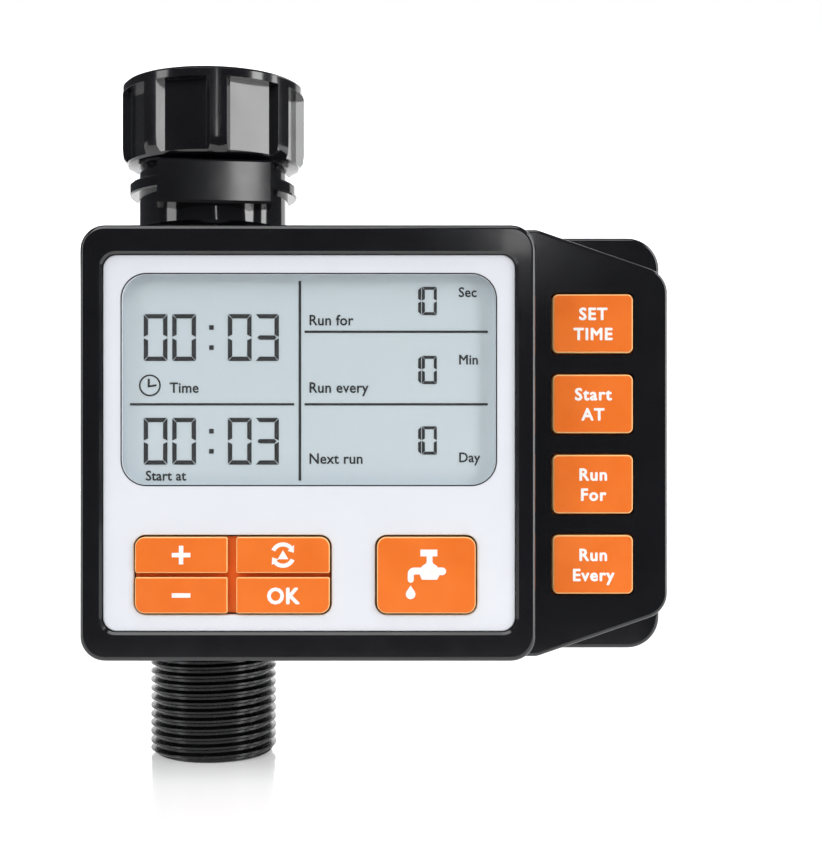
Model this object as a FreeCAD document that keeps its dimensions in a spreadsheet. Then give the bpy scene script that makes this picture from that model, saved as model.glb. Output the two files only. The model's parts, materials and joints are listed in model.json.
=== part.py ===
"""Battery-powered tap timer for drip irrigation, in millimetres.

+Z is up, the front faces -Y, and the origin is the washer seat of the inlet, on the
axis of the waterway. Sizes live in the sheet "Sizes" and every sub-part is bound to it.
"""
import FreeCAD, Part
import math
import os
import Sketcher
from FreeCAD import Placement, Rotation, Vector
from fcgear import fcgear, involute

os.makedirs("parts", exist_ok=True)
doc = FreeCAD.newDocument("tap_timer")

SIZES = {
    # casing
    "middle_z": -62.0,
    "half_tall": 42.05,
    "left_x": -22.85,
    "bezel_x": 65.0,
    "wing_x": 91.7,
    "rear_x": 92.5,
    "slope_x": 66.0,
    "slope_angle": 19.0,
    "front_y": -28.0,
    "wing_y": -22.0,
    "parting_y": -11.0,
    "back_y": 24.0,
    "wall": 2.6,
    "wing_wall": 2.0,
    "bezel_wall": 4.4,
    "bezel_corner": 4.8,
    "wing_corner": 5.2,
    "rear_corner": 6.5,
    "seal_width": 1.2,
    "seal_tall": 1.6,
    # face panel and display
    "panel_left": -18.5,
    "panel_right": 61.1,
    "panel_half": 36.35,
    "panel_corner": 2.7,
    "panel_y": -27.2,
    "panel_thick": 1.8,
    "window_left": -14.9,
    "window_right": 57.4,
    "window_low": -8.15,
    "window_high": 32.65,
    "window_corner": 4.8,
    "window_ledge": 1.0,
    # front keys
    "block_left": -12.2,
    "block_right": 25.3,
    "block_low": -32.8,
    "block_high": -18.1,
    "block_corner": 1.9,
    "block_groove_x": 6.45,
    "block_groove_wide": 1.7,
    "block_groove_z": -25.43,
    "block_groove_tall": 0.85,
    "tap_left": 34.4,
    "tap_right": 53.4,
    "key_y": -27.9,
    "key_gap": 0.35,
    "web_y": -25.9,
    # side keys
    "side_left": 69.0,
    "side_right": 84.7,
    "side_tall": 11.5,
    "side_pitch": 15.76,
    "side_corner": 1.1,
    "side_key_y": -22.8,
    # waterway
    "neck_radius": 15.74,
    "ring_radius": 17.76,
    "pad_half": 11.55,
    "pad_y": -17.9,
    "water_radius": 8.0,
    "outlet_radius": 13.22,
    "outlet_root": 12.06,
    "shank_radius": 12.95,
    "outlet_low": -127.4,
    "thread_pitch": 1.814,
    "nut_radius": 19.2,
    "nut_low": -4.5,
    "nut_high": 13.2,
    "nut_turn": -13.5,
    "nut_thread_radius": 13.45,
    "spigot_turn": 7.0,
    # valve and drive
    "stem_z": -66.0,
    "ball_radius": 9.0,
    "body_radius": 13.6,
    "chamber_radius": 12.3,
    "slip_gap": 0.05,
    "stem_radius": 3.0,
    "running_gap": 0.06,
    "gear_module": 0.5,
    "wheel_teeth": 36,
    "pinion_teeth": 12,
    "output_teeth": 40,
    "gearbox_x": 19.0,
    "gearbox_cover_x": 35.0,
    # batteries
    "cell_radius": 5.25,
    "cell_long": 44.5,
    "bay_left": 50.0,
    "bay_right": 73.0,
    "bay_half": 25.0,
    "bay_floor_y": 8.0,
    "door_left": 45.2,
    "door_half": 28.0,
    "door_hinge_x": 80.5,
    "door_hinge_y": 22.0,
    "barrel_radius": 2.0,
    "hinge_pin_radius": 0.8,
    # screws
    "screw_radius": 1.2,
    "screw_head_radius": 2.5,
    "boss_radius": 2.7,
    "screw_seat_y": 18.5,
}

sheet = doc.addObject("Spreadsheet::Sheet", "Sizes")
for row_number, (alias, amount) in enumerate(SIZES.items(), start=1):
    sheet.set(f"A{row_number}", alias)
    sheet.set(f"B{row_number}", str(amount))
    sheet.setAlias(f"B{row_number}", alias)
doc.recompute()


class Size:
    """A length that knows its value and its formula in the sheet."""

    def __init__(self, value, formula):
        self.value = value
        self.formula = formula

    def combine(self, other, sign, value):
        return Size(value, f"({self.formula} {sign} {as_size(other).formula})")

    def __add__(self, other):
        return self.combine(other, "+", self.value + as_size(other).value)

    def __sub__(self, other):
        return self.combine(other, "-", self.value - as_size(other).value)

    def __mul__(self, other):
        return self.combine(other, "*", self.value * as_size(other).value)

    def __truediv__(self, other):
        return self.combine(other, "/", self.value / as_size(other).value)

    def __neg__(self):
        return Size(-self.value, f"(0 - {self.formula})")


def as_size(amount):
    if isinstance(amount, Size):
        return amount
    return Size(float(amount), f"({float(amount)!r})")


def tangent_of(angle):
    return Size(math.tan(math.radians(angle.value)), f"tan({angle.formula} * 1 deg)")


class Sheet:
    """Each alias of the sheet as a Size."""

    def __getattr__(self, alias):
        return Size(float(sheet.get(alias)), f"Sizes.{alias}")


S = Sheet()
PARTS = {}


def bind(item, name, amount):
    item.setExpression(name, as_size(amount).formula)


def keep(node, item):
    """Names a finished sub-part: its label is its file's name."""
    item.Label = node
    PARTS[node] = item
    return item


# ---------------------------------------------------------------- PartDesign helpers

def new_body(node):
    return keep(node, doc.addObject("PartDesign::Body", node + "_body"))


def new_sketch(body, plane, offset):
    """A sketch on one of the body's own planes, moved along world +axis by offset."""
    sketch = body.newObject("Sketcher::SketchObject", body.Name + "_sketch")
    support = [part for part in body.Origin.OriginFeatures if part.Role == plane][0]
    sketch.AttachmentSupport = [(support, "")]
    sketch.MapMode = "FlatFace"
    along = -as_size(offset) if plane == "XZ_Plane" else as_size(offset)
    bind(sketch, "AttachmentOffset.Base.z", along)
    return sketch


def fix_point(sketch, geometry, end, x, y):
    for kind, amount in (("DistanceX", as_size(x)), ("DistanceY", as_size(y))):
        number = sketch.addConstraint(Sketcher.Constraint(kind, -1, 1, geometry, end, amount.value))
        sketch.setExpression(f"Constraints[{number}]", amount.formula)


def draw_circle(sketch, x, y, radius):
    centre = Vector(as_size(x).value, as_size(y).value, 0)
    ring = sketch.addGeometry(Part.Circle(centre, Vector(0, 0, 1), as_size(radius).value))
    fix_point(sketch, ring, 3, x, y)
    number = sketch.addConstraint(Sketcher.Constraint("Radius", ring, as_size(radius).value))
    sketch.setExpression(f"Constraints[{number}]", as_size(radius).formula)


def draw_polygon(sketch, corners):
    """A closed outline of straight lines through (x, y) corners."""
    points = [Vector(as_size(x).value, as_size(y).value, 0) for x, y in corners]
    count = len(points)
    lines = [sketch.addGeometry(Part.LineSegment(points[i], points[(i + 1) % count]))
             for i in range(count)]
    for i in range(count):
        sketch.addConstraint(Sketcher.Constraint("Coincident", lines[i], 2, lines[(i + 1) % count], 1))
        fix_point(sketch, lines[i], 1, *corners[i])


def draw_rounded(sketch, corners):
    """A closed outline through (x, y, radius) corners, each rounded by its radius."""
    points = [Vector(as_size(x).value, as_size(y).value, 0) for x, y, radius in corners]
    count = len(points)
    starts, ends, arcs = [], [], []
    for i in range(count):
        radius = as_size(corners[i][2]).value
        back = (points[i - 1] - points[i]).normalize()
        ahead = (points[(i + 1) % count] - points[i]).normalize()
        half = back.getAngle(ahead) / 2
        reach = radius / math.tan(half)
        middle = points[i] + (back + ahead).normalize() * (radius / math.sin(half))
        ends.append(points[i] + back * reach)
        starts.append(points[i] + ahead * reach)
        arcs.append(middle)
    lines = [sketch.addGeometry(Part.LineSegment(starts[i], ends[(i + 1) % count]))
             for i in range(count)]
    for i in range(count):
        radius = corners[i][2]
        first = math.atan2(ends[i].y - arcs[i].y, ends[i].x - arcs[i].x)
        last = math.atan2(starts[i].y - arcs[i].y, starts[i].x - arcs[i].x)
        turn = (last - first) % (2 * math.pi)
        left_turn = turn < math.pi
        circle = Part.Circle(arcs[i], Vector(0, 0, 1), as_size(radius).value)
        low, high = (first, first + turn) if left_turn else (last, last + 2 * math.pi - turn)
        arc = sketch.addGeometry(Part.ArcOfCircle(circle, low, high))
        in_end, out_end = (1, 2) if left_turn else (2, 1)
        sketch.addConstraint(Sketcher.Constraint("Tangent", lines[i - 1], 2, arc, in_end))
        sketch.addConstraint(Sketcher.Constraint("Tangent", arc, out_end, lines[i], 1))
        number = sketch.addConstraint(Sketcher.Constraint("Radius", arc, as_size(radius).value))
        sketch.setExpression(f"Constraints[{number}]", as_size(radius).formula)
    for i in range(count):
        mark = sketch.addGeometry(Part.Point(points[i]), True)
        fix_point(sketch, mark, 1, corners[i][0], corners[i][1])
        sketch.addConstraint(Sketcher.Constraint("PointOnObject", mark, 1, lines[i - 1]))
        sketch.addConstraint(Sketcher.Constraint("PointOnObject", mark, 1, lines[i]))


def outlines(*loops):
    """Draws each loop of rounded corners in one sketch."""
    def draw(sketch):
        for loop in loops:
            draw_rounded(sketch, loop)
    return draw


def circles(places, radius):
    """Draws a circle at each place in one sketch."""
    def draw(sketch):
        for x, y in places:
            draw_circle(sketch, x, y, radius)
    return draw


def polygon(corners):
    return lambda sketch: draw_polygon(sketch, corners)


def box_corners(left, right, low, high, radius):
    return [(left, low, radius), (right, low, radius), (right, high, radius), (left, high, radius)]


def feature(body, kind, sketch, length):
    item = body.newObject(kind, body.Name + "_step")
    item.Profile = sketch
    bind(item, "Length", length)
    sketch.Visibility = False
    return item


def add_slab(body, draw, front, back):
    """Adds what draw(sketch) outlines, from y = front to y = back."""
    sketch = new_sketch(body, "XZ_Plane", back)
    draw(sketch)
    return feature(body, "PartDesign::Pad", sketch, as_size(back) - front)


def cut_slab(body, draw, front, back):
    """Cuts what draw(sketch) outlines, from y = front to y = back."""
    sketch = new_sketch(body, "XZ_Plane", front)
    draw(sketch)
    doc.recompute()
    before = body.Shape.Volume
    item = feature(body, "PartDesign::Pocket", sketch, as_size(back) - front)
    doc.recompute()
    if not body.Shape.Volume < before - 1e-6:
        raise RuntimeError(f"{body.Label}: a pocket cuts nothing")
    return item


def cut_upright(body, x, y, radius, low, high):
    """Cuts a round hole along Z, from z = low to z = high."""
    sketch = new_sketch(body, "XY_Plane", high)
    draw_circle(sketch, x, y, radius)
    doc.recompute()
    before = body.Shape.Volume
    item = feature(body, "PartDesign::Pocket", sketch, as_size(high) - low)
    doc.recompute()
    if not body.Shape.Volume < before - 1e-6:
        raise RuntimeError(f"{body.Label}: a hole cuts nothing")
    return item


def round_edges(body, kind, size, wanted):
    """Fillets or chamfers the edges for which wanted(edge) is true."""
    doc.recompute()
    names = [f"Edge{i + 1}" for i, edge in enumerate(body.Shape.Edges) if wanted(edge)]
    if not names:
        raise RuntimeError(f"{body.Label}: no edge to round")
    base = body.Tip
    item = body.newObject("PartDesign::" + kind, body.Name + "_edge")
    item.Base = (base, names)
    bind(item, "Radius" if kind == "Fillet" else "Size", size)
    doc.recompute()
    return item


def lies_on_y(edge, y):
    box = edge.BoundBox
    y = as_size(y).value
    return abs(box.YMin - y) < 1e-4 and abs(box.YMax - y) < 1e-4


def turned(node, profile):
    """A body of revolution about Z from its (radius, z) corners."""
    body = new_body(node)
    sketch = new_sketch(body, "XZ_Plane", 0)
    draw_polygon(sketch, profile)
    item = body.newObject("PartDesign::Revolution", body.Name + "_turn")
    item.Profile = sketch
    item.ReferenceAxis = (sketch, ["V_Axis"])
    item.Angle = 360
    sketch.Visibility = False
    return body


def swing(body, angle):
    """Turns a finished body about the waterway's axis."""
    doc.recompute()
    body.Placement = Placement(Vector(0, 0, 0), Rotation(Vector(0, 0, 1), angle.value))
    bind(body, "Placement.Rotation.Angle", angle)


# ---------------------------------------------------------------- Part helpers

def block(x, y, z):
    """A box between (low, high) pairs."""
    item = doc.addObject("Part::Box", "block")
    for name, base, (low, high) in (("Length", "x", x), ("Width", "y", y), ("Height", "z", z)):
        bind(item, name, as_size(high) - low)
        bind(item, "Placement.Base." + base, low)
    return item


AXIS_TURN = {
    "x": Rotation(Vector(0, 1, 0), 90),
    "y": Rotation(Vector(1, 0, 0), -90),
    "z": Rotation(),
}


def rod(axis, centre, low, high, radius):
    """A cylinder along an axis: centre holds the two other places in x, y, z order."""
    item = doc.addObject("Part::Cylinder", "rod")
    item.Placement = FreeCAD.Placement(Vector(), AXIS_TURN[axis])
    bind(item, "Radius", radius)
    bind(item, "Height", as_size(high) - low)
    places = iter(centre)
    for name in "xyz":
        bind(item, "Placement.Base." + name, low if name == axis else next(places))
    return item


def ball(x, y, z, radius):
    item = doc.addObject("Part::Sphere", "ball")
    bind(item, "Radius", radius)
    for name, place in (("x", x), ("y", y), ("z", z)):
        bind(item, "Placement.Base." + name, place)
    return item


def join(*items):
    if len(items) == 1:
        return items[0]
    item = doc.addObject("Part::MultiFuse", "join")
    item.Shapes = list(items)
    return item


def cut(base, *tools):
    item = doc.addObject("Part::Cut", "cut")
    item.Base = base
    item.Tool = join(*tools)
    return item


def group(*items):
    """Separate solids that share one node."""
    item = doc.addObject("Part::Compound", "group")
    item.Links = list(items)
    return item


def ring_along(axis, centre, low, high, inner, outer):
    return cut(rod(axis, centre, low, high, outer), rod(axis, centre, low, high, inner))


# ---------------------------------------------------------------- casing

def at(height):
    """A height over the middle of the casing, as a place along Z."""
    return S.middle_z + height


def silhouette(inset):
    """The front shell's outline seen from the front, moved inwards by inset."""
    inset = as_size(inset)
    slope = tangent_of(S.slope_angle)
    half_slope = tangent_of(S.slope_angle / 2)
    shoulder = slope * (S.wing_x - S.slope_x)
    lift = as_size(math.cos(math.radians(S.slope_angle.value)))
    side = S.half_tall - shoulder - inset * (as_size(1) / lift - slope)
    left = S.left_x + inset
    turn = S.slope_x - inset * half_slope
    right = S.wing_x - inset
    tall = S.half_tall - inset
    corner = S.bezel_corner - inset
    small = S.wing_corner - inset
    return [
        (left, at(-tall), corner), (turn, at(-tall), 3.0), (right, at(-side), small),
        (right, at(side), small), (turn, at(tall), 3.0), (left, at(tall), corner),
    ]


SCREW_PLACES = [(x, at(side * z)) for x, z in ((-17.4, 35.6), (21.0, 36.6), (59.5, 36.6), (79.2, 34.2))
                for side in (-1, 1)]
SIDE_ROWS = [(S.side_pitch * step) - 0.2 for step in (1.5, 0.5, -0.5, -1.5)]
BOARD_SCREWS = [(-15.8, at(-14.2)), (58.2, at(-14.2)), (29.8, at(-25.4))]
SIDE_BOARD_SCREWS = [(72.0, at(-32.6)), (72.0, at(32.6))]
KEY_SPANS = [(S.block_left, S.block_right), (S.tap_left, S.tap_right)]


def cut_waterway(body):
    """The holes that the inlet neck and the outlet pass through, in the top and bottom wall."""
    reach = S.wall + 0.3
    cut_upright(body, 0, 0, S.neck_radius + 0.15, at(S.half_tall - reach), at(S.half_tall + 1))
    cut_upright(body, 0, 0, S.outlet_radius + 0.2, at(-S.half_tall - 1), at(-S.half_tall + reach))


def make_front_housing():
    body = new_body("front_housing")
    bezel_back = S.front_y + S.bezel_wall
    add_slab(body, outlines(silhouette(0)), S.wing_y, S.parting_y)
    round_edges(body, "Fillet", 0.7, lambda e: lies_on_y(e, S.wing_y))
    bezel = box_corners(S.left_x, S.bezel_x, at(-S.half_tall), at(S.half_tall), S.bezel_corner)
    add_slab(body, outlines(bezel), S.front_y, S.wing_y + 1)
    round_edges(body, "Fillet", 0.9, lambda e: lies_on_y(e, S.front_y))
    cut_waterway(body)

    cavity_y = S.wing_y + S.wing_wall
    cut_slab(body, outlines(silhouette(S.wall)), cavity_y, S.parting_y)
    inner = box_corners(S.left_x + S.wall, S.bezel_x - S.wall, at(S.wall - S.half_tall),
                        at(S.half_tall - S.wall), S.bezel_corner - S.wall)
    cut_slab(body, outlines(inner), bezel_back, cavity_y)

    recess = box_corners(S.panel_left - 0.1, S.panel_right + 0.1, at(-S.panel_half - 0.1),
                         at(S.panel_half + 0.1), S.panel_corner)
    panel_back = S.panel_y + S.panel_thick
    cut_slab(body, outlines(recess), S.front_y, panel_back)
    recess_low = recess[0][0].value
    round_edges(body, "Chamfer", 0.5,
                lambda e: lies_on_y(e, S.front_y.value) and e.BoundBox.XMin > recess_low - 0.01)
    ledge = S.window_ledge + 0.1
    window = box_corners(S.window_left - ledge, S.window_right + ledge, at(S.window_low - ledge),
                         at(S.window_high + ledge), 1.0)
    cut_slab(body, outlines(window), panel_back, bezel_back)
    holes = [box_corners(left - 0.6, right + 0.6, at(S.block_low - 0.6), at(S.block_high + 0.6), 2.0)
             for left, right in KEY_SPANS]
    cut_slab(body, outlines(*holes), panel_back, bezel_back)

    side_holes = [box_corners(S.side_left - S.key_gap, S.side_right + S.key_gap,
                              at(row - S.side_tall / 2 - S.key_gap),
                              at(row + S.side_tall / 2 + S.key_gap), S.side_corner)
                  for row in SIDE_ROWS]
    cut_slab(body, outlines(*side_holes), S.wing_y, cavity_y)

    bezel_places = [place for place in SCREW_PLACES if place[0] < S.bezel_x.value]
    wing_places = [place for place in SCREW_PLACES if place[0] > S.bezel_x.value]
    add_slab(body, circles(bezel_places, S.boss_radius), bezel_back - 0.2, S.parting_y)
    add_slab(body, circles(wing_places, S.boss_radius), cavity_y - 0.2, S.parting_y)
    cut_slab(body, circles(SCREW_PLACES, S.screw_radius + 0.01), S.parting_y - 7, S.parting_y)
    add_slab(body, circles(BOARD_SCREWS, 2.0), bezel_back - 0.2, bezel_back + 4.2)
    cut_slab(body, circles(BOARD_SCREWS, 0.91), bezel_back + 0.6, bezel_back + 4.2)
    add_slab(body, circles(SIDE_BOARD_SCREWS, 2.0), cavity_y - 0.2, cavity_y + 5.4)
    cut_slab(body, circles(SIDE_BOARD_SCREWS, 0.91), cavity_y + 1.4, cavity_y + 5.4)


def rear_outline(inset):
    tall = S.half_tall - inset
    near, far = S.bezel_corner - inset, S.rear_corner - inset
    left, right = S.left_x + inset, S.rear_x - inset
    return [(left, at(-tall), near), (right, at(-tall), far), (right, at(tall), far), (left, at(tall), near)]


def make_rear_housing():
    body = new_body("rear_housing")
    inside_y = S.back_y - S.wall
    add_slab(body, outlines(rear_outline(0)), S.parting_y, S.back_y)
    round_edges(body, "Fillet", 3.0, lambda e: lies_on_y(e, S.back_y.value))
    deck = S.wing_x.value - 12
    round_edges(body, "Fillet", 0.8,
                lambda e: lies_on_y(e, S.parting_y) and e.CenterOfMass.x > deck)
    cut_waterway(body)
    rebate = silhouette(S.wall - S.seal_width)
    rebate_y = S.parting_y + S.seal_tall
    cut_slab(body, outlines(rebate), S.parting_y, rebate_y)
    cut_slab(body, outlines(silhouette(S.wall)), rebate_y, rebate_y + 1)
    cut_slab(body, outlines(rear_outline(S.wall)), rebate_y + 1, inside_y)

    bay = box_corners(S.door_left - 2.6, S.rear_x - S.wall + 0.5, at(-S.door_half - 3),
                      at(S.door_half + 3), 1.0)
    add_slab(body, outlines(bay), S.bay_floor_y - 2, inside_y + 0.2)
    lugs = [(side * 15.6, S.stem_z + lug) for side in (-1, 1) for lug in (-20.5, 20.5)]
    add_slab(body, circles(SCREW_PLACES, 3.6), S.parting_y, inside_y + 0.2)
    add_slab(body, circles(lugs, 2.6), 11.0, inside_y + 0.2)
    cut_slab(body, circles(lugs, 1.01), 11.0, 19.0)
    cut_slab(body, circles(SCREW_PLACES, S.screw_radius + 0.15), S.parting_y, S.back_y)
    cut_slab(body, circles(SCREW_PLACES, S.screw_head_radius + 0.2), S.screw_seat_y, S.back_y)

    hollow = box_corners(S.bay_left, S.bay_right, at(-S.bay_half), at(S.bay_half), 0.8)
    cut_slab(body, outlines(hollow), S.bay_floor_y, S.back_y)
    recess = box_corners(S.door_left - 0.4, S.door_hinge_x, at(-S.door_half - 0.4),
                         at(S.door_half + 0.4), 1.5)
    cut_slab(body, outlines(recess), S.back_y - 3.2, S.back_y)
    trough = box_corners(S.door_hinge_x - 3, S.door_hinge_x + 3.6, at(-S.door_half - 0.4),
                         at(S.door_half + 0.4), 0.4)
    cut_slab(body, outlines(trough), S.door_hinge_y - 2.4, S.back_y)
    notch = box_corners(S.door_left - 2.6, S.door_left + 1, at(-6), at(6), 1.0)
    cut_slab(body, outlines(notch), S.back_y - 1.6, S.back_y)
    cut_upright(body, S.door_hinge_x, S.door_hinge_y, S.hinge_pin_radius + 0.01,
                at(-S.door_half - 2.0), at(S.door_half + 2.0))


def make_housing_seal():
    body = new_body("housing_seal")
    back = S.parting_y + S.seal_tall
    add_slab(body, outlines(silhouette(S.wall - S.seal_width + 0.02)),
             S.parting_y, back)
    cut_slab(body, outlines(silhouette(S.wall)), S.parting_y, back)
    cut_slab(body, circles(SCREW_PLACES, 3.62), S.parting_y, back)
    cut_upright(body, 0, 0, S.neck_radius + 0.15, at(30), at(S.half_tall + 1))
    cut_upright(body, 0, 0, S.outlet_radius + 0.2, at(-S.half_tall - 1), at(-30))


def make_housing_screws():
    screws = []
    for x, z in SCREW_PLACES:
        shank = rod("y", (x, z), S.parting_y - 6, S.screw_seat_y + 0.5, S.screw_radius)
        head = rod("y", (x, z), S.screw_seat_y, S.screw_seat_y + 1.9, S.screw_head_radius)
        slots = [block((x - long, x + long), (S.screw_seat_y + 0.9, S.screw_seat_y + 2.2),
                       (z - wide, z + wide)) for long, wide in ((1.5, 0.3), (0.3, 1.5))]
        screws.append(cut(join(shank, head), *slots))
    keep("housing_screws", group(*screws))


# ---------------------------------------------------------------- face, display and boards

def make_face_panel():
    body = new_body("face_panel")
    outline = box_corners(S.panel_left, S.panel_right, at(-S.panel_half), at(S.panel_half),
                          S.panel_corner)
    back = S.panel_y + S.panel_thick
    add_slab(body, outlines(outline), S.panel_y, back)
    window = box_corners(S.window_left, S.window_right, at(S.window_low), at(S.window_high),
                         S.window_corner)
    cut_slab(body, outlines(window), S.panel_y, back)
    holes = [box_corners(left - S.key_gap, right + S.key_gap, at(S.block_low - S.key_gap),
                         at(S.block_high + S.key_gap), S.block_corner + S.key_gap)
             for left, right in KEY_SPANS]
    cut_slab(body, outlines(*holes), S.panel_y, back)
    round_edges(body, "Fillet", 0.3, lambda e: lies_on_y(e, S.panel_y.value))


def window_plate(node, spread, front, back, corner):
    body = new_body(node)
    outline = box_corners(S.window_left - spread, S.window_right + spread, at(S.window_low - spread),
                          at(S.window_high + spread), corner)
    add_slab(body, outlines(outline), front, back)
    return body


def make_display():
    window_plate("display_lens", as_size(-0.05), S.panel_y + 0.15, S.panel_y + 1.35, S.window_corner)
    glass_front = S.panel_y + S.panel_thick + 0.1
    window_plate("display_glass", S.window_ledge, glass_front, glass_front + 2.2, as_size(0.8))
    frame = window_plate("display_frame", S.window_ledge - 0.1, glass_front + 2.2,
                         S.front_y + S.bezel_wall + 4.2, as_size(0.8))
    hollow = box_corners(S.window_left + 1, S.window_right - 1, at(S.window_low + 1),
                         at(S.window_high - 1), 0.8)
    cut_slab(frame, outlines(hollow), glass_front + 3.2,
             S.front_y + S.bezel_wall + 4.2)


def make_boards():
    board_y = S.front_y + S.bezel_wall + 4.2
    main = new_body("main_board")
    outline = box_corners(-17.2, 60.4, at(-33), at(33), 1.0)
    add_slab(main, outlines(outline), board_y, board_y + 1.6)
    cut_slab(main, circles(BOARD_SCREWS, 1.2), board_y, board_y + 1.6)

    side_y = S.wing_y + S.wing_wall + 5.4
    side = new_body("side_board")
    add_slab(side, outlines(box_corners(66.4, 81.0, at(-31.2), at(31.2), 1.0)), side_y, side_y + 1.6)
    add_slab(side, outlines(box_corners(66.4, 75.2, at(-34.8), at(34.8), 1.0)), side_y, side_y + 1.6)
    cut_slab(side, circles(SIDE_BOARD_SCREWS, 1.2), side_y, side_y + 1.6)

    back = board_y + 1.6
    side_back = side_y + 1.6
    ribbon = new_body("board_ribbon")
    path = [(54, back), (58, back), (61, back + 2.9), (64.5, side_back), (70, side_back)]
    thick = [(x, y + 0.3) for x, y in path]
    sketch = new_sketch(ribbon, "XY_Plane", at(7))
    draw_polygon(sketch, path + thick[::-1])
    feature(ribbon, "PartDesign::Pad", sketch, 14).Reversed = True

    chip_body = block((12, 24), (back, back + 1.4), (at(-8), at(4)))
    keep("controller_chip", chip_body)
    keep("storage_capacitor", rod("y", (46, at(20)), back, back + 3.0, 4.0))
    screws = []
    for places, seat in ((BOARD_SCREWS, back), (SIDE_BOARD_SCREWS, side_back)):
        for x, z in places:
            screws.append(join(rod("y", (x, z), seat - 4.2, seat + 0.4, 0.9),
                               rod("y", (x, z), seat, seat + 1.2, 1.8)))
    keep("board_screws", group(*screws))


def make_front_mat():
    board_y = S.front_y + S.bezel_wall + 4.2
    mat = new_body("front_keypad_mat")
    sheet_outline = box_corners(-13.4, 56.0, at(-33.6), at(-16.6), 1.5)
    add_slab(mat, outlines(sheet_outline), board_y - 1.2, board_y)
    blocks = [box_corners(left, right, at(S.block_low), at(S.block_high), S.block_corner)
              for left, right in KEY_SPANS]
    add_slab(mat, outlines(*blocks), S.web_y, board_y - 1.1)
    wells = [box_corners(left - 0.3, right + 0.3, low - 0.3, high + 0.3, 0.5)
             for left, right, low, high in front_plungers().values()]
    cut_slab(mat, outlines(*wells), S.web_y, board_y)
    cut_slab(mat, circles(BOARD_SCREWS[2:], 2.3), board_y - 1.2, board_y)


def front_caps():
    """Each front key's cap as (left, right, low, high)."""
    inner_left = S.block_groove_x - S.block_groove_wide / 2
    inner_right = S.block_groove_x + S.block_groove_wide / 2
    inner_low = at(S.block_groove_z - S.block_groove_tall / 2)
    inner_high = at(S.block_groove_z + S.block_groove_tall / 2)
    return {
        "plus_key": (S.block_left, inner_left, inner_high, at(S.block_high)),
        "cycle_key": (inner_right, S.block_right, inner_high, at(S.block_high)),
        "minus_key": (S.block_left, inner_left, at(S.block_low), inner_low),
        "ok_key": (inner_right, S.block_right, at(S.block_low), inner_low),
        "tap_key": (S.tap_left, S.tap_right, at(S.block_low), at(S.block_high)),
    }


def front_plungers():
    return {name: (left + 2.2, right - 2.2, low + 1.8, high - 1.8)
            for name, (left, right, low, high) in front_caps().items()}


def make_front_keys():
    board_y = S.front_y + S.bezel_wall + 4.2
    plungers = front_plungers()
    middle_x = S.block_groove_x.value
    middle_z = at(S.block_groove_z).value
    for name, (left, right, low, high) in front_caps().items():
        body = new_body(name)
        corners = []
        for x, z, radius in box_corners(left, right, low, high, 0.4):
            outer_x = name == "tap_key" or abs(x.value - middle_x) > 2
            outer_z = name == "tap_key" or abs(z.value - middle_z) > 2
            corners.append((x, z, S.block_corner if outer_x and outer_z else 0.4))
        add_slab(body, outlines(corners), S.key_y, S.web_y - 1.0)
        round_edges(body, "Fillet", 0.3, lambda e: lies_on_y(e, S.key_y.value))
        stalk = box_corners(*plungers[name], 0.3)
        add_slab(body, outlines(stalk), S.web_y - 1.0, board_y - 1.1)


SIDE_KEYS = ("set_time_key", "start_key", "run_for_key", "run_every_key")


def make_side_keys():
    flange_y = S.wing_y + S.wing_wall + 0.4
    side_y = S.wing_y + S.wing_wall + 5.4
    middle = (S.side_left + S.side_right) / 2
    mat = new_body("side_keypad_mat")
    sheet_outline = box_corners(67.0, 81.0, at(-30.2), at(30.2), 1.5)
    add_slab(mat, outlines(sheet_outline), side_y - 2.6, side_y)
    for name, row in zip(SIDE_KEYS, SIDE_ROWS):
        well = box_corners(middle - 4.3, S.side_right - 4.4 + 0.3, at(row - 2.8), at(row + 2.8), 0.5)
        cut_slab(mat, outlines(well), side_y - 2.6, side_y)
        body = new_body(name)
        cap = box_corners(S.side_left, S.side_right, at(row - S.side_tall / 2),
                          at(row + S.side_tall / 2), S.side_corner)
        add_slab(body, outlines(cap), S.side_key_y, flange_y + 1)
        round_edges(body, "Fillet", 0.4, lambda e: lies_on_y(e, S.side_key_y.value))
        flange = box_corners(S.side_left - 0.9, S.side_right + 0.9, at(row - S.side_tall / 2 - 0.9),
                             at(row + S.side_tall / 2 + 0.9), S.side_corner)
        add_slab(body, outlines(flange), flange_y, flange_y + 1)
        stalk = box_corners(middle - 4, S.side_right - 4.4, at(row - 2.5), at(row + 2.5), 0.3)
        add_slab(body, outlines(stalk), flange_y + 1, side_y - 1.0)


# ---------------------------------------------------------------- inlet and outlet

def ring_thread(radius, root, low, count, outside):
    """(radius, z) corners of a thread drawn as rings, from z = low upwards."""
    pitch = S.thread_pitch
    depth = radius if outside else root
    corners = []
    for turn in range(count):
        start = as_size(low) + pitch * turn
        for share, at_crest in ((0.06, True), (0.32, True), (0.60, False), (0.78, False)):
            corners.append((depth if at_crest else (root if outside else radius), start + pitch * share))
    return corners


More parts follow.
